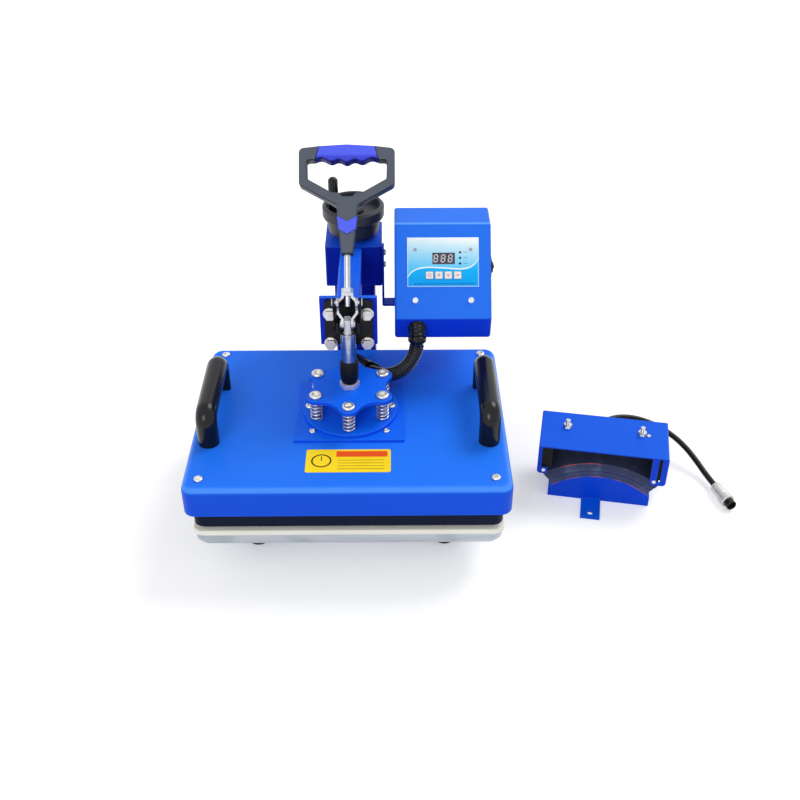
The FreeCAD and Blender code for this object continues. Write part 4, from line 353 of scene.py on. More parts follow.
def steel(name, color, rough, grain, depth=0.00001, thread=0.0, tint=None, metal=1.0):
    """Plated or turned metal: fine tool marks, faint stains and, on screws, a thread."""
    f = Finish(name)
    marks = f.noise(1.0, 4.0, f.frame((0, 0, 0), (0, 0, 0), tuple(1.0 / v for v in grain)))
    stain = f.noise(38.0, 4.0)
    tone = f.mix(stain, shade(color, 0.78), shade(color, 1.08))
    tone = f.mix(f.span(marks, 0.45, 0.75) * 0.35, tone, tint or shade(color, 0.55))
    tone = f.mix(f.edge(0.0007) * 0.4, tone, srgb(242, 242, 244))
    gloss = rough + 0.16 * (stain - 0.5) + 0.1 * (marks - 0.5)
    height = marks
    if thread:
        _, _, rise = f.parts(f.place)
        height = abs(f.add("Math", {"operation": "FRACT"}, {0: rise * (1.0 / thread)}) - 0.5) * 2.0
        # Painted shade in the thread's grooves.
        tone = f.mix(f.span(height, 0.5, 0.0) * 0.45, tone, srgb(60, 60, 64))
        depth = thread * 0.4
    return f.surface(tone, gloss, height, depth, Metallic=metal)


def box_screw_zinc(name):
    """Pan-head screws: pale below the panel, duller where they hold the panel itself."""
    f = Finish(name)
    _, _, rise = f.parts(f.place)
    stain = f.noise(220.0, 3.0)
    tone = f.mix(stain, srgb(196, 197, 200), srgb(236, 236, 236))
    tone = f.mix(f.span(rise, 0.212, 0.22) * 0.75, tone, srgb(120, 116, 122))
    tone = f.mix(f.edge(0.0005) * 0.4, tone, srgb(246, 246, 246))
    return f.surface(tone, 0.36 + 0.14 * (stain - 0.5), stain, 0.00002, rounded=0.0004, Metallic=0.7)


def brushed_tray(name):
    """Cast aluminium tray: pale satin metal with a drawn grain along its length and dull corners."""
    f = Finish(name)
    drawn = f.noise(1.0, 4.0, f.frame((0, 0, 0), (0, 0, 0), (0.11, 0.003, 0.003)))
    dull = f.noise(18.0, 4.0)
    tone = f.mix(drawn, srgb(150, 160, 172), srgb(206, 213, 220))
    tone = f.mix(f.span(dull, 0.5, 0.8) * 0.4, tone, srgb(128, 136, 146))
    tone = f.mix(f.edge(0.0012) * 0.5, tone, srgb(236, 240, 244))
    return f.surface(tone, 0.36 + 0.2 * (dull - 0.5), drawn, 0.00003, Metallic=0.75)


def panel_print(name):
    """The overlay's print: white at the top, pale blue, then cyan below a white sweep, with plain rules."""
    f = Finish(name)
    corner = FACE @ mm(74.4, -83.3, 0.0)
    x, y, _ = f.parts(f.frame(corner, (FACE_LEAN, 0.0, 0.0), (0.0932, 0.0646, 0.01)))
    sky = f.add("ValToRGB", {"stops": [(0.0, srgb(30, 180, 246)), (0.4, srgb(104, 206, 250)),
                                       (0.62, srgb(156, 222, 250)), (0.85, srgb(208, 240, 254)),
                                       (1.0, srgb(250, 254, 255))]}, {0: y + 0.10 * (x - 0.4)})
    sea = f.add("ValToRGB", {"stops": [(0.0, srgb(0, 158, 244)), (0.35, srgb(14, 182, 248)),
                                       (0.6, srgb(70, 202, 250))]}, {0: y})
    sweep = f.add("FloatCurve", {"points": [(0.0, 0.184), (0.095, 0.331), (0.232, 0.389), (0.504, 0.382),
                                            (0.818, 0.372), (0.928, 0.445), (1.0, 0.592)]}, {"Value": x})
    soft = 0.004
    below = f.span(sweep - y, -soft, soft)
    tone = f.mix(below, sky, sea)
    band = 1 - f.span(abs(y - sweep), 0.008, 0.02)
    tone = f.mix(band * 0.9, tone, srgb(250, 253, 255))
    dash = f.add("Math", {"operation": "FRACT"}, {0: x * 21.0})
    rule = f.inside(y, 0.046, 0.072, soft) * f.inside(x, 0.09, 0.93, soft) * f.inside(dash, 0.06, 0.8, 0.05)
    tone = f.mix(rule * 0.7, tone, srgb(6, 74, 140))
    bar = 0.015
    bars = sum(f.inside(y, low, low + bar, soft) for low in (0.693, 0.580, 0.467))
    tone = f.mix(bars * f.inside(x, 0.785, 0.845, soft) * 0.6, tone, srgb(70, 110, 140))
    rim = 1 - f.inside(x, 0.012, 0.988, 0.003) * f.inside(y, 0.018, 0.982, soft)
    tone = f.mix(rim * 0.45, tone, srgb(236, 248, 255))
    fine = f.noise(1800.0, 2.0)
    return f.surface(tone, 0.34 + 0.08 * (fine - 0.5), fine, 0.00001, rounded=0.0002, Specular_IOR_Level=0.12)


def window_smoke(name):
    """Smoked display window and the small dark lamps beside it."""
    f = Finish(name)
    x, _, _ = f.parts(f.place)
    cloud = f.noise(60.0, 3.0)
    smoke = f.mix(cloud, srgb(62, 54, 68), srgb(84, 74, 86))
    tone = f.mix(x > 0.140, smoke, srgb(24, 26, 62))
    tone = f.mix(f.edge(0.0006) * 0.4, tone, srgb(120, 112, 120))
    return f.surface(tone, 0.16 + 0.1 * (cloud - 0.5), rounded=0.0002, Specular_IOR_Level=0.25)


def cover_sticker(name):
    """A plain yellow sticker: an orange band, ruled lines and an empty dial."""
    f = Finish(name)
    x, y, _ = f.parts(f.frame(mm(*LABEL_LOW)))
    fade = f.noise(60.0, 3.0)
    soft, rule = 0.0003, 0.0012
    ink = srgb(40, 34, 20)
    tone = f.mix(fade, srgb(246, 206, 16), srgb(254, 226, 44))
    band = f.inside(x, 0.037, 0.1, soft) * f.inside(y, 0.0295, 0.0405, soft)
    tone = f.mix(band, tone, srgb(232, 84, 30))
    lines = sum(f.inside(y, low, low + rule, soft) for low in (0.0225, 0.0170, 0.0115, 0.0060))
    tone = f.mix(lines * f.inside(x, 0.039, 0.096, soft) * 0.75, tone, srgb(120, 96, 20))
    reach = f.add("VectorMath", {"operation": "DISTANCE"},
                  {0: f.add("CombineXYZ", None, {0: x, 1: y}), 1: (0.019, 0.022, 0.0)}, out="Value")
    tone = f.mix(f.inside(reach, 0.0105, 0.0125, soft), tone, ink)
    hand = f.inside(x, 0.0184, 0.0184 + rule, soft) * f.inside(y, 0.022, 0.0305, soft)
    tone = f.mix(hand, tone, ink)
    return f.surface(tone, 0.34 + 0.1 * (fade - 0.5), f.noise(900.0, 2.0), 0.00001, rounded=0.0,
                     Specular_IOR_Level=0.12)


def cap_stack(name, color, lines, pale):
    """Layered silicone: bands that follow the arc, with broken orange lines where the inner sheet shows."""
    f = Finish(name)
    across, _, rise = f.parts(f.frame(TOOL @ mm(0, 0, ARC_RISE), (0.0, 0.0, TOOL_YAW)))
    radius = (across * across + rise * rise) ** 0.5
    cloud = f.noise(34.0, 4.0)
    fine = f.noise(700.0, 3.0)
    layer = f.noise(1.0, 2.0, f.add("CombineXYZ", None, {0: radius * 1300.0}))
    tone = f.mix(layer, shade(color, 0.72), shade(color, 1.25))
    tone = f.mix(f.span(cloud, 0.5, 0.8) * 0.5, tone, pale)
    broken = f.span(f.noise(34.0, 3.0), 0.5, 0.6)
    for line in lines:
        tone = f.mix((1 - f.span(abs(radius - line), 0.00025, 0.0006)) * broken, tone, srgb(196, 70, 44))
    return f.surface(tone, 0.58 + 0.2 * (fine - 0.5), fine + layer, 0.00012, Specular_IOR_Level=0.2)


def silicone_sheet(name):
    """Cream silicone sponge: a soft skin with fine pores and a little grime at the edges."""
    f = Finish(name)
    cloud = f.noise(16.0, 4.0)
    pore = f.add("TexVoronoi", None, {"Vector": f.place, "Scale": 900.0})
    tone = f.mix(cloud, srgb(222, 222, 210), srgb(240, 240, 230))
    tone = f.mix(f.edge(0.0015) * 0.3, tone, srgb(196, 196, 184))
    return f.surface(tone, 0.62 + 0.15 * (cloud - 0.5), pore, 0.00006, Sheen_Weight=0.1)


def rib_hose(name):
    """Ribbed nylon hose: glossy black, with the crests of its ribs painted paler as a painted highlight."""
    f = Finish(name)
    cloud = f.noise(40.0, 3.0)
    tone = f.mix(cloud, srgb(3, 3, 5), srgb(9, 10, 13))
    # Painted highlight: the rib crests are painted paler than the grooves.
    crest = f.span(f.add("Attribute", {"attribute_name": "wall"}, None, "Fac"), 0.0088, 0.0094)
    tone = f.mix(crest * 0.8, tone, srgb(30, 32, 38))
    return f.surface(tone, 0.15 + 0.1 * (cloud - 0.5), f.noise(900.0, 2.0), 0.00001, rounded=0.0,
                     Specular_IOR_Level=0.7)


def plug_silver(name):
    """Nickel-plated plug shell, with painted shade, near black, in the recessed slot of the cable clamp."""
    f = Finish(name)
    x, y, z = f.parts(f.frame(PLUG.translation, PLUG.to_euler()))
    stain = f.noise(90.0, 3.0)
    tone = f.mix(stain, srgb(176, 174, 170), srgb(226, 224, 220))
    # Painted shade: the recessed clamp slot is painted near black and not metallic.
    slot = f.inside(z, 0.0055, 0.019, 0.0002) * (((x * x + y * y) ** 0.5) < 0.0071)
    tone = f.mix(slot, tone, srgb(16, 16, 18))
    tone = f.mix(f.edge(0.0006) * 0.4, tone, srgb(250, 250, 248))
    gloss = 0.42 + 0.12 * (stain - 0.5) + 0.2 * slot
    return f.surface(tone, gloss, Metallic=0.6 - 0.6 * slot, rounded=0.0003)


# Pieces

def piece(name, bm, body, slot, finish, *stands_for, sharp=35.0):
    """Makes a finished piece from a bmesh: merged, facing outwards and smooth up to its sharp edges."""
    bmesh.ops.remove_doubles(bm, verts=bm.verts, dist=TINY)
    bmesh.ops.recalc_face_normals(bm, faces=bm.faces)
    mesh = bpy.data.meshes.new(name)
    bm.to_mesh(mesh)
    bm.free()
    mesh.shade_smooth()
    mesh.set_sharp_from_angle(angle=math.radians(sharp))
    made = bpy.data.objects.new(name, mesh)
    scene.collection.objects.link(made)
    return dress(made, body, slot, finish, *stands_for)


def dress(made, body, slot, finish, *stands_for):
    """Gives a piece its finish, its body and the CAD nodes that it stands for; its slot argument is not used.
    """
    made.data.materials.append(finish)
    if body:
        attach(made, body)
    if stands_for:
        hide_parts(*stands_for)
    return made


def turn(bm, profile, steps=48, closed=False):
    """Turns a profile of radius and height, in millimetres, about the Z axis."""
    rim = [bm.verts.new(mm(radius, 0, height)) for radius, height in profile]
    pairs = list(zip(rim, rim[1:])) + ([(rim[-1], rim[0])] if closed else [])
    edges = [bm.edges.new(pair) for pair in pairs]
    bmesh.ops.spin(bm, geom=rim + edges, cent=(0, 0, 0), axis=(0, 0, 1), angle=2 * math.pi, steps=steps,
                   use_merge=True)


def soften(bm, edges, size, segments=3):
    """Rounds edges by a size in millimetres."""
    bmesh.ops.bevel(bm, geom=edges, offset=size * MM, offset_type="OFFSET", affect="EDGES", segments=segments,
                    profile=0.5, material=-1)


def corners_of(geometry):
    """The vertices among mixed geometry."""
    return [g for g in geometry if isinstance(g, bmesh.types.BMVert)]


def upright(edge):
    """Whether an edge's ends lie at different heights."""
    return abs(edge.verts[0].co.z - edge.verts[1].co.z) > TINY


def slab(bm, low, high, corner, edge):
    """A plate with rounded corners and softened rims, from its lowest and highest corners in millimetres."""
    low, high = mm(*low), mm(*high)
    size = Matrix.Diagonal((*(high - low), 1.0))
    block = bmesh.ops.create_cube(bm, size=1.0, matrix=Matrix.Translation((low + high) / 2) @ size)
    verts = set(block["verts"])
    posts = [e for e in bm.edges if set(e.verts) <= verts and upright(e)]
    soften(bm, posts, corner, 8)
    if edge:
        bm.normal_update()
        rims = [e for e in bm.edges if len(e.link_faces) == 2
                and sorted(abs(face.normal.z) > 0.9 for face in e.link_faces) == [False, True]]
        soften(bm, rims, edge)


def belt(bm, radius, low, high):
    """The faces beyond a radius and between two heights, in millimetres, of a turned piece."""
    middles = [(face, face.calc_center_median() / MM) for face in bm.faces]
    return [face for face, middle in middles if middle.xy.length > radius and low < middle.z < high]


def cap_plug():
    """The plug at the cord's end: a knurled shell with a slotted clamp, and a dark insert with four pins."""
    shell = bmesh.new()
    grip = [(4.3, 0.0), (6.4, 0.0), (7.1, 0.5), (7.5, 1.4), (7.5, 6.0), (7.5, 18.5), (7.5, 21.2), (7.0, 22.0)]
    nut = [(8.3, 22.0), (9.0, 22.7), (9.0, 33.2), (8.3, 34.0), (5.6, 34.0), (5.6, 30.0), (4.3, 30.0)]
    turn(shell, grip + nut, 48, True)
    shell.normal_update()
    bmesh.ops.inset_individual(shell, faces=belt(shell, 8.8, 22.6, 33.3), thickness=0.00022, depth=-0.0003)
    clamp = belt(shell, 7.0, 11.5, 13.0)
    for start, end in ((2.36, 2.88), (-0.78, -0.26)):
        middles = [(face, face.calc_center_median()) for face in clamp]
        gate = [face for face, middle in middles if start < math.atan2(middle.y, middle.x) < end]
        bmesh.ops.inset_region(shell, faces=gate, thickness=0.0003, depth=-0.0012, use_even_offset=True)
    shell.transform(PLUG)
    nose = bmesh.new()
    turn(nose, [(0.0, 37.0), (5.6, 37.0), (5.6, 42.4), (6.0, 43.0), (6.6, 43.0), (7.0, 42.5), (7.0, 34.4),
                (5.5, 33.6), (5.5, 30.5), (0.0, 30.5)], 40)
    pins, first_angle, tip_rise = 4, 0.4, 0.0412
    for k in range(pins):
        round_axis = Matrix.Rotation(math.tau * k / pins + first_angle, 4, "Z")
        pin = bmesh.ops.create_cone(nose, cap_ends=True, segments=10, radius1=0.0007, radius2=0.0005,
                                    depth=0.0046, matrix=round_axis @ Matrix.Translation(mm(2.8, 0, 39.2)))
        tips = [e for v in pin["verts"] for e in v.link_edges if all(w.co.z > tip_rise for w in e.verts)]
        soften(nose, list(set(tips)), 0.2, 2)
    nose.transform(PLUG)
    return [piece("plug_shell", shell, "cap_head", "bright_steel", plug_silver("plug nickel"),
                  "cap_connector"),
            piece("plug_nose", nose, "cap_head", "black_plastic",
                  moulded("plug insert", srgb(20, 20, 22), 0.3, 600.0))]


def tube_line(start, leave, reach, end):
    """The line of a bent tube: its ends, and the points by which it leaves one and reaches the other."""
    line = bpy.data.curves.new("tube_line", "CURVE")
    line.dimensions = "3D"
    line.resolution_u = 64
    run = line.splines.new("BEZIER")
    run.bezier_points.add(1)
    first, last = run.bezier_points
    first.co, first.handle_right = start, leave
    last.co, last.handle_left = end, reach
    first.handle_left = 2 * first.co - first.handle_right
    last.handle_right = 2 * last.co - last.handle_left
    way = bpy.data.objects.new("tube_line", line)
    scene.collection.objects.link(way)
    return way, run.calc_length() / MM


def bent_tube(name, outline, length, way, body, slot, finish, node):
    """A straight turned tube, its bore in short steps, bent along its line."""
    bore = [(HOSE_BORE, length * (1 - k / BORE_STEPS)) for k in range(BORE_STEPS + 1)]
    bm = bmesh.new()
    turn(bm, bore[-1:] + outline + bore[:-1], 40, True)
    wall = bm.verts.layers.float.new("wall")
    for vert in bm.verts:
        vert[wall] = vert.co.xy.length
    tube = piece(name, bm, body, slot, finish, node, sharp=50.0)
    bend = tube.modifiers.new("bend", "CURVE")
    bend.object = way
    bend.deform_axis = "POS_Z"
    bpy.context.view_layer.update()
    laid = bpy.data.meshes.new_from_object(tube.evaluated_get(bpy.context.evaluated_depsgraph_get()))
    tube.modifiers.clear()
    tube.data = laid
    bpy.data.objects.remove(way)
    return tube


def ribbed_hose():
    """The ribbed hose from the gland's mouth to the elbow on the cover."""
    way, length = tube_line(HOSE_TOP, HOSE_LEAVE, HOSE_REACH, HOSE_END)
    plain_share, ribs = 0.053, 28
    lead = length * plain_share
    pitch = (length - 2 * lead) / ribs
    groove, crest = 7.7, 9.5
    half = [(groove, 0.14), (8.6, 0.22), (9.2, 0.32), (9.45, 0.43)]
    rib = half + [(crest, 0.5)] + [(radius, 1.0 - along) for radius, along in reversed(half)]
    outline = [(groove, 0.0), (groove, lead)]
    outline += [(radius, lead + (k + along) * pitch) for k in range(ribs) for radius, along in rib]
    outline += [(groove, length)]
    hose = bent_tube("ribbed_hose", outline, length, way, None, "matt_black_plastic", rib_hose("hose nylon"),
                     "conduit")
    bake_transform(hose)


def gland_boot():
    """The ringed boot that turns the hose down from the box's chin, with a plain collar at its mouth."""
    way, length = tube_line(mm(87, 70.19, 157.85), mm(87, 61.3, 156.4), HOSE_TOP + mm(0, 0, 8), HOSE_TOP)
    rings, seat, collar = 4, 2.6, 6.0
    pitch = (length - seat - collar) / rings
    ring = [(9.7, 0.08), (9.7, 0.22), (10.6, 0.34), (10.9, 0.55), (10.6, 0.78), (9.7, 0.92)]
    outline = [(11.0, 0.0), (11.5, 0.5), (11.5, 2.0), (11.0, seat)]
    outline += [(radius, seat + (k + along) * pitch) for k in range(rings) for radius, along in ring]
    outline += [(9.8, length - collar), (11.4, length - 5.6), (11.9, length - 5.0), (11.9, length - 0.9),
                (11.3, length - 0.2), (10.4, length)]
    bent_tube("gland_boot", outline, length, way, "swing_arm", "matt_black_plastic",
              moulded("boot nylon", srgb(7, 9, 18), 0.24, 700.0, 0.00003, 0.15, srgb(52, 58, 76), shine=0.28),
              "conduit_gland")


def soft_grip():
    """The soft sleeve on the grip's bar, with hollows for the fingers, and the chevron on its neck."""
    front = 10.6
    sleeve = [(0.0, 219.54), (34.4, 217.52), (39.4, 200.04), (30.58, 202.73), (19.11, 196.81), (9.7, 200.91),
              (0.0, 195.6)]
    mark = [(0.0, 124.6), (12.55, 131.2), (10.75, 114.8), (0.0, 108.2)]
    bm = bmesh.new()
    for half, waves, round_off, edge in ((sleeve, range(3, 10), 3.4, 3.0), (mark, (), 0.0, 0.9)):
        outline = half + [(-x, rise) for x, rise in reversed(half[1:-1])]
        rim = [bm.verts.new(mm(x, -front, rise)) for x, rise in outline]
        face = bm.faces.new(rim)
        if waves:
            bmesh.ops.bevel(bm, geom=[rim[k] for k in waves], offset=round_off * MM, affect="VERTICES",
                            segments=5, profile=0.5, material=-1, clamp_overlap=True)
            face = next(f for f in bm.faces)
        grown = bmesh.ops.extrude_face_region(bm, geom=[face])["geom"]
        bmesh.ops.translate(bm, verts=corners_of(grown), vec=mm(0, 2 * front, 0))
        ends = {e for e in bm.edges if abs(e.verts[0].co.y - e.verts[1].co.y) < TINY
                and len(e.link_faces) <= 2 and abs(abs(e.verts[0].co.y) - front * MM) < TINY
                and abs(e.calc_face_angle(0.0)) > 1.0}
        bmesh.ops.recalc_face_normals(bm, faces=bm.faces)
        soften(bm, list(ends), edge, 4)
    bm.transform(LEVER)
    # The soft grip's front tone, with a painted top tone, painted shade beneath and a band of painted shade
    # over the finger hollows.
    rubber = lever_moulding("soft grip rubber", srgb(84, 100, 244), srgb(46, 56, 226), srgb(20, 20, 120),
                            0.5, 0.2, srgb(38, 46, 196))
    piece("soft_grip_sleeve", bm, "lever", "blue_rubber", rubber, "soft_grip", sharp=40.0)


def springs():
    """Six coil springs with closed end turns, between the disc and the star."""
    wire, mean, low, high = 1.1, 7.0, 81.5, 109.8
    dead, live, steps_per_turn = 0.8, 4.2, 30
    bolt_circle, count = 48.5, 6
    closed_rise = dead * 2.1 * wire
    open_rise = high - low - 2 * wire - 2 * closed_rise
    bm = bmesh.new()
    start = Matrix.Translation(mm(mean, 0, low + wire)) @ Matrix.Rotation(math.pi / 2, 4, "X")
    bmesh.ops.create_circle(bm, cap_ends=False, segments=12, radius=wire * MM, matrix=start)
    last = list(bm.verts) + list(bm.edges)
    for turns, climb in ((dead, closed_rise), (live, open_rise), (dead, closed_rise)):
        steps = round(turns * steps_per_turn)
        spun = bmesh.ops.spin(bm, geom=last, cent=(0, 0, 0), axis=(0, 0, 1), dvec=mm(0, 0, climb / steps),
                              angle=turns * math.tau, steps=steps)
        last = [g for g in spun["geom_last"] if not isinstance(g, bmesh.types.BMFace)]
    bmesh.ops.holes_fill(bm, edges=bm.edges, sides=0)
    bmesh.ops.translate(bm, verts=bm.verts, vec=mm(0, -bolt_circle, 0))
    one = list(bm.verts) + list(bm.edges) + list(bm.faces)
    for k in range(1, count):
        copy = bmesh.ops.duplicate(bm, geom=one)["geom"]
        way = Matrix.Rotation(k * math.tau / count, 3, "Z")
        bmesh.ops.rotate(bm, verts=corners_of(copy), cent=(0, 0, 0), matrix=way)
    bright = steel("spring wire", srgb(206, 206, 210), 0.24, (300.0, 300.0, 300.0))
    made = piece("coil_springs", bm, "platen", "bright_steel", bright, "press_springs", sharp=60.0)
    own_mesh(made)


def bench_pad():
    """The silicone pad on the tray."""
    bm = bmesh.new()
    slab(bm, (-192, -146, -8), (192, 146, 0), corner=12.0, edge=1.6)
    made = piece("bench_pad", bm, "base", "cream_silicone", silicone_sheet("cream sponge"), "silicone_pad")


def arc_band(name, section, body, slot, finish, node):
    """A curved sheet: a section of depth and radius, spun about the cap tool's own arc."""
    bm = bmesh.new()
    start = Matrix.Rotation(-ARC_HALF, 4, "Y")
    ring = [bm.verts.new(start @ mm(0, depth, radius)) for depth, radius in section]
    edges = [bm.edges.new(pair) for pair in zip(ring, ring[1:] + ring[:1])]
    bmesh.ops.spin(bm, geom=ring + edges, cent=(0, 0, 0), axis=(0, 1, 0), angle=2 * ARC_HALF, steps=56)
    bmesh.ops.holes_fill(bm, edges=bm.edges, sides=0)
    bmesh.ops.recalc_face_normals(bm, faces=bm.faces)
    bm.normal_update()
    rims = [e for e in bm.edges if len(e.link_faces) == 2 and e.calc_face_angle(0.0) > math.radians(40)]
    soften(bm, rims, 0.35, 2)
    bm.transform(TOOL @ Matrix.Translation(mm(0, 0, ARC_RISE)))
    made = piece(name, bm, body, slot, finish, node)


def cap_layers():
    """The sponge on the cap tool's form and the heater's sheet above it, with their layered edges."""
    slate, haze = srgb(52, 62, 100), srgb(90, 101, 138)
    arc_band("form_sponge", [(-38.5, 101.92), (-38.1, 104.6), (-38.5, 105.2), (-38.5, 108.0), (-37.9, 108.4),
                             (-38.2, 110.92), (33.2, 110.92), (32.9, 108.4), (33.5, 108.0), (33.5, 105.2),
                             (33.1, 104.6), (33.5, 101.92)],
             "cap_form", "grey_silicone", cap_stack("form sponge", slate, (0.1023,), haze), "form_pad")
    arc_band("heater_sheet", [(-37.8, 111.32), (-37.8, 113.1), (-38.5, 113.4), (-38.5, 115.1), (-37.6, 115.4),
                              (-37.6, 117.32), (32.6, 117.32), (32.6, 115.4), (33.5, 115.1), (33.5, 113.4),
                              (32.8, 113.1), (32.8, 111.32)],
             "cap_head", "grey_silicone", cap_stack("heater silicone", slate, (), srgb(112, 124, 160)),
             "cap_heater")


def bracket_ends():
    """Near-black sheets behind the bracket's front flanges, standing for the shade seen through their slots,
    and the screws that hold them.
    """
    # Painted shade: near-black sheets where the flange slots show only shade.
    shade_sheet = bmesh.new()
    for low, high in ((-83.0, -66.0), (63.0, 83.0)):
        slab(shade_sheet, (low, -37.9, 46.5), (high, -36.5, 82.6), corner=0.4, edge=0.0)
    shade_sheet.transform(TOOL)
    piece("shade_sheets", shade_sheet, "cap_head", "black_paint",
          moulded("shade sheet black", srgb(10, 11, 15), 0.5, 500.0, 0.00005, 0.2, shine=0.15))
    screws = bmesh.new()
    turn(screws, [(0.0, 1.5), (1.4, 1.4), (2.5, 0.9), (2.9, 0.2), (2.9, 0.0), (0.0, 0.0)], 24)
    one = list(screws.verts) + list(screws.edges) + list(screws.faces)
    copy = bmesh.ops.duplicate(screws, geom=one)["geom"]
    for screw, place in ((one, mm(-76.9, -40.5, 45.0)), (copy, mm(69.9, -40.5, 45.0))):
        way = Matrix.Translation(place) @ Matrix.Rotation(math.pi / 2, 4, "X")
        bmesh.ops.transform(screws, matrix=way, verts=corners_of(screw))
    screws.transform(TOOL)
    piece("flange_screws", screws, "cap_head", "bright_steel",
          steel("flange screw zinc", srgb(232, 232, 232), 0.34, (200.0, 200.0, 200.0), metal=0.6))


def display_digits():
    """Three unlit seven-bar digits that lean a little, just proud of the window."""
    side, lean, row, proud = 2.3, 0.12, -46.2, 1.16
    bar_size = Matrix.Diagonal((0.0041, 0.0015, 0.0001, 1.0))
    level = [(0.0, up, False) for up in (2 * side, 0.0, -2 * side)]
    standing = [(across, up, True) for up in (side, -side) for across in (-side, side)]
    bm = bmesh.new()
    for center in (111.7, 121.1, 130.5):
        for across, up, stands in level + standing:
            bar = bmesh.ops.create_cube(bm, size=1.0, matrix=bar_size)
            ends = {e for v in bar["verts"] for e in v.link_edges if upright(e)}
            cut = bmesh.ops.bevel(bm, geom=list(ends), offset=0.0007, affect="EDGES", segments=1, profile=0.5,
                                  material=-1)
            if stands:
                quarter = Matrix.Rotation(math.pi / 2, 3, "Z")
                bmesh.ops.rotate(bm, verts=cut["verts"], cent=(0, 0, 0), matrix=quarter)
            bmesh.ops.translate(bm, verts=cut["verts"], vec=mm(center + across + up * lean, up + row, proud))
    bm.transform(FACE)
    piece("display_digits", bm, "swing_arm", "key_white",
          moulded("digit bars", srgb(206, 208, 214), 0.4, 1500.0, 0.00001, 0.1))


def key_marks():
    """A plain printed mark on each key: ring, arrow up, arrow down, bar."""
    ink = moulded("key ink", srgb(226, 170, 176), 0.45, 1500.0, 0.00001, 0.05)
    thick, reach, row, proud = 0.06, 2.6, -68.2, 2.12
    for k, x in enumerate((103.3, 115.5, 127.7, 139.9)):
        bm = bmesh.new()
        if k == 0:
            turn(bm, [(1.5, 0.0), (reach, 0.0), (reach, thick), (1.5, thick)], 32, True)
        elif k == 3:
            slab(bm, (-reach, -1.1, 0.0), (reach, 1.1, thick), corner=0.5, edge=0.0)
        else:
            bmesh.ops.create_cone(bm, cap_ends=True, segments=3, radius1=0.003, radius2=0.003,
                                  depth=thick * MM, matrix=Matrix.Rotation(math.pi * (k - 1), 4, "Z"))
            soften(bm, [e for e in bm.edges if upright(e)], 0.4, 3)
        bm.transform(FACE @ Matrix.Translation(mm(x, row, proud)))
        piece("key_mark_%d" % (k + 1), bm, "panel_key_%d" % (k + 1), "key_white", ink)


def cover_label():
    """The thin sticker on the cover."""
    bm = bmesh.new()
    slab(bm, LABEL_LOW, LABEL_HIGH, corner=3.0, edge=0.0)
    piece("cover_label", bm, "platen", "panel_print", cover_sticker("sticker vinyl"))


lead_rubber = moulded("lead rubber", srgb(9, 10, 12), 0.34, 700.0, 0.00003, 0.0, drift_scale=60.0)
dress(cap_lead, "cap_head", "black_rubber", lead_rubber, "cap_cord")
plug_pieces = cap_plug()
ribbed_hose()
gland_boot()
soft_grip()
springs()
bench_pad()
cap_layers()
bracket_ends()
display_digits()
key_marks()
cover_label()


# Finishes of the CAD pieces

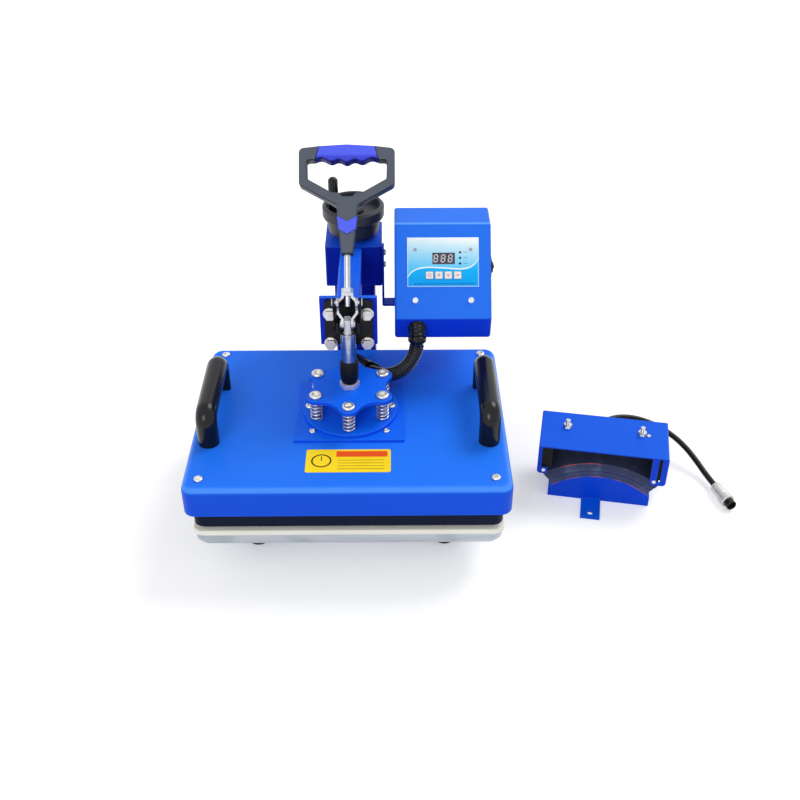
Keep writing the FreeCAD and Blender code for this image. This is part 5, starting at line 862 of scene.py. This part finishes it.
# The blue paints are lit and shaded copies of one powder coat: each part's blue is painted darker or paler to
# stand for the light that falls on it.
finishes = [
    (blue_paint("cover blue", srgb(12, 78, 218), srgb(34, 122, 250), fold=0.5), ["top_cover"]),
    (blue_paint("plate blue", srgb(10, 84, 228), srgb(16, 106, 248)),
     ["square_plate", "spring_disc", "star_plate"]),
    (blue_paint("box blue", srgb(12, 58, 214), srgb(43, 126, 248), brow=0.6), ["box_shell", "box_rear"]),
    (blue_paint("frame blue", srgb(6, 36, 160), srgb(20, 88, 232)),
     ["base_skids", "base_crossbars", "column", "swing_sleeve", "box_bracket"]),
    (blue_paint("arm blue", srgb(8, 44, 196), srgb(28, 112, 252)), ["arm_tube"]),
    (blue_paint("tool blue", srgb(8, 66, 206), srgb(8, 98, 232)), ["form_body"]),
    # The bracket's inner faces get painted shade and painted reflection streaks.
    (blue_paint("bracket blue", srgb(8, 60, 204), srgb(8, 98, 232), shade_inside=True), ["cap_bracket"]),
    (moulded("foot rubber", srgb(18, 18, 20), 0.6), ["rubber_feet"]),
    (moulded("toggle enamel", srgb(8, 8, 11), 0.32, 500.0, 0.00004, 0.3), ["toggle_body", "toggle_links"]),
    (moulded("coupler rubber", srgb(8, 9, 14), 0.42, 600.0, 0.00006, 0.25, shine=0.18), ["coupler"]),
    (moulded("handle plastic", srgb(14, 16, 22), 0.2, 500.0, 0.00003, 0.2, shine=0.3),
     ["side_handles", "crank_peg"]),
    (moulded("wheel plastic", srgb(40, 44, 51), 0.42, 500.0, 0.00008, 0.25, shine=0.4), ["handwheel"]),
    (moulded("fitting plastic", srgb(12, 14, 20), 0.34, 700.0, 0.00005, 0.3),
     ["conduit_elbow", "switch_housing", "power_rocker", "rear_sockets"]),
    # Grip plastic: a darker painted tone on top, and near-black painted shade beneath and on the sides.
    (lever_moulding("grip plastic", srgb(80, 87, 100), srgb(62, 67, 76), srgb(24, 25, 30), 0.42, 0.25),
     ["grip_frame"]),
    (moulded("key plastic", srgb(240, 236, 236), 0.4, 1200.0, 0.00002, 0.1, srgb(255, 255, 255),
             drift_share=0.03),
     ["panel_key_1", "panel_key_2", "panel_key_3", "panel_key_4"]),
    (moulded("platen coating", srgb(8, 19, 44), 0.4, 700.0, 0.00005, 0.3, srgb(40, 54, 84), shine=0.08),
     ["heat_platen"]),
    (moulded("blanket fibre", srgb(206, 200, 186), 0.8, 300.0, 0.0004, 0.1), ["insulation"]),
    (moulded("board mask", srgb(24, 96, 54), 0.4, 400.0, 0.00005, 0.2), ["circuit_board"]),
    (cap_stack("backing silicone", srgb(44, 53, 84), (0.1246,), srgb(86, 97, 128)), ["cap_backing"]),
    (brushed_tray("tray aluminium"), ["lower_platen"]),
    # The barrel's bluish base and bluish tint are a painted reflection of the blue paint around it.
    (steel("barrel chrome", srgb(176, 179, 192), 0.16, (30.0, 30.0, 300.0), tint=srgb(112, 114, 146)),
     ["guide_barrel"]),
    (steel("plunger zinc", srgb(214, 214, 218), 0.36, (120.0, 120.0, 300.0), metal=0.5), ["plunger_rod"]),
    (steel("lever chrome", srgb(192, 195, 204), 0.2, (80.0, 80.0, 300.0)), ["lever_fork", "lever_rod"]),
    (steel("bolt zinc", srgb(226, 225, 222), 0.32, (200.0, 200.0, 200.0)),
     ["toggle_bolts", "platen_screws", "star_bolts"]),
    (box_screw_zinc("box screw zinc"), ["box_screws"]),
    (steel("stud thread", srgb(222, 222, 222), 0.28, (200.0, 200.0, 200.0), thread=0.0009), ["cap_studs"]),
    (steel("screw thread", srgb(150, 150, 152), 0.34, (100.0, 100.0, 400.0), thread=0.002),
     ["adjusting_screw"]),
    (steel("dull plate", srgb(140, 142, 146), 0.4, (120.0, 120.0, 120.0)),
     ["thrust_collar", "base_bolts", "heating_element"]),
    (panel_print("overlay print"), ["panel_overlay"]),
    (window_smoke("smoked window"), ["display_parts"]),
]
for finish, names in finishes:
    for name in names:
        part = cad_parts[name]
        for place in part.material_slots:
            place.material = finish


# Floor and light

def seen_rays(f):
    """1 for what the camera sees, straight or in metal and glass."""
    rays = ("Is Camera Ray", "Is Glossy Ray", "Is Transmission Ray")
    return f.add("Clamp", None, {"Value": sum(f.add("LightPath", out=name) for name in rays)})


def lay_floor():
    """A wide pale floor just under the feet, lifted to near white where it is seen."""
    bm = bmesh.new()
    bmesh.ops.create_grid(bm, x_segments=4, y_segments=4, size=12.0,
                          matrix=Matrix.Translation((0, 4, FLOOR_RISE)))
    mesh = bpy.data.meshes.new("floor")
    bm.to_mesh(mesh)
    bm.free()
    floor = bpy.data.objects.new("floor", mesh)
    scene.collection.objects.link(floor)
    f = Finish("pale floor")
    tone = f.mix(f.noise(3.0, 2.0), srgb(238, 238, 238), srgb(242, 242, 242))
    matt = f.add("BsdfDiffuse", None, {"Color": tone})
    glow = 0.3
    lift = f.add("Emission", None, {"Color": (1.0, 1.0, 1.0, 1.0), "Strength": seen_rays(f) * glow})
    f.add("OutputMaterial", None, {"Surface": f.add("AddShader", None, {0: matt, 1: lift})})
    mesh.materials.append(f.material)


def hang_sun(name, toward, strength, width):
    """A wide soft lamp that shines from the side that toward points to."""
    data = bpy.data.lights.new(name, "SUN")
    data.energy = strength
    data.angle = math.radians(width)
    lamp = bpy.data.objects.new(name, data)
    lamp.rotation_euler = Vector(toward).to_track_quat("Z", "Y").to_euler()
    scene.collection.objects.link(lamp)


def light_room():
    """An even white room with one lamp from behind and a weaker one in front."""
    scene.world = bpy.data.worlds.new("room")
    f = Finish("room", scene.world)
    plain = 0.62
    strength = plain + (1.0 - plain) * seen_rays(f)
    sky = f.add("Background", None, {"Color": (1.0, 1.0, 1.0, 1.0), "Strength": strength})
    f.add("OutputWorld", None, {"Surface": sky})
    hang_sun("key", (0.5, 0.42, 0.78), 1.25, 30.0)
    hang_sun("fill", (-0.35, -0.8, 0.55), 0.9, 30.0)


lay_floor()
light_room()
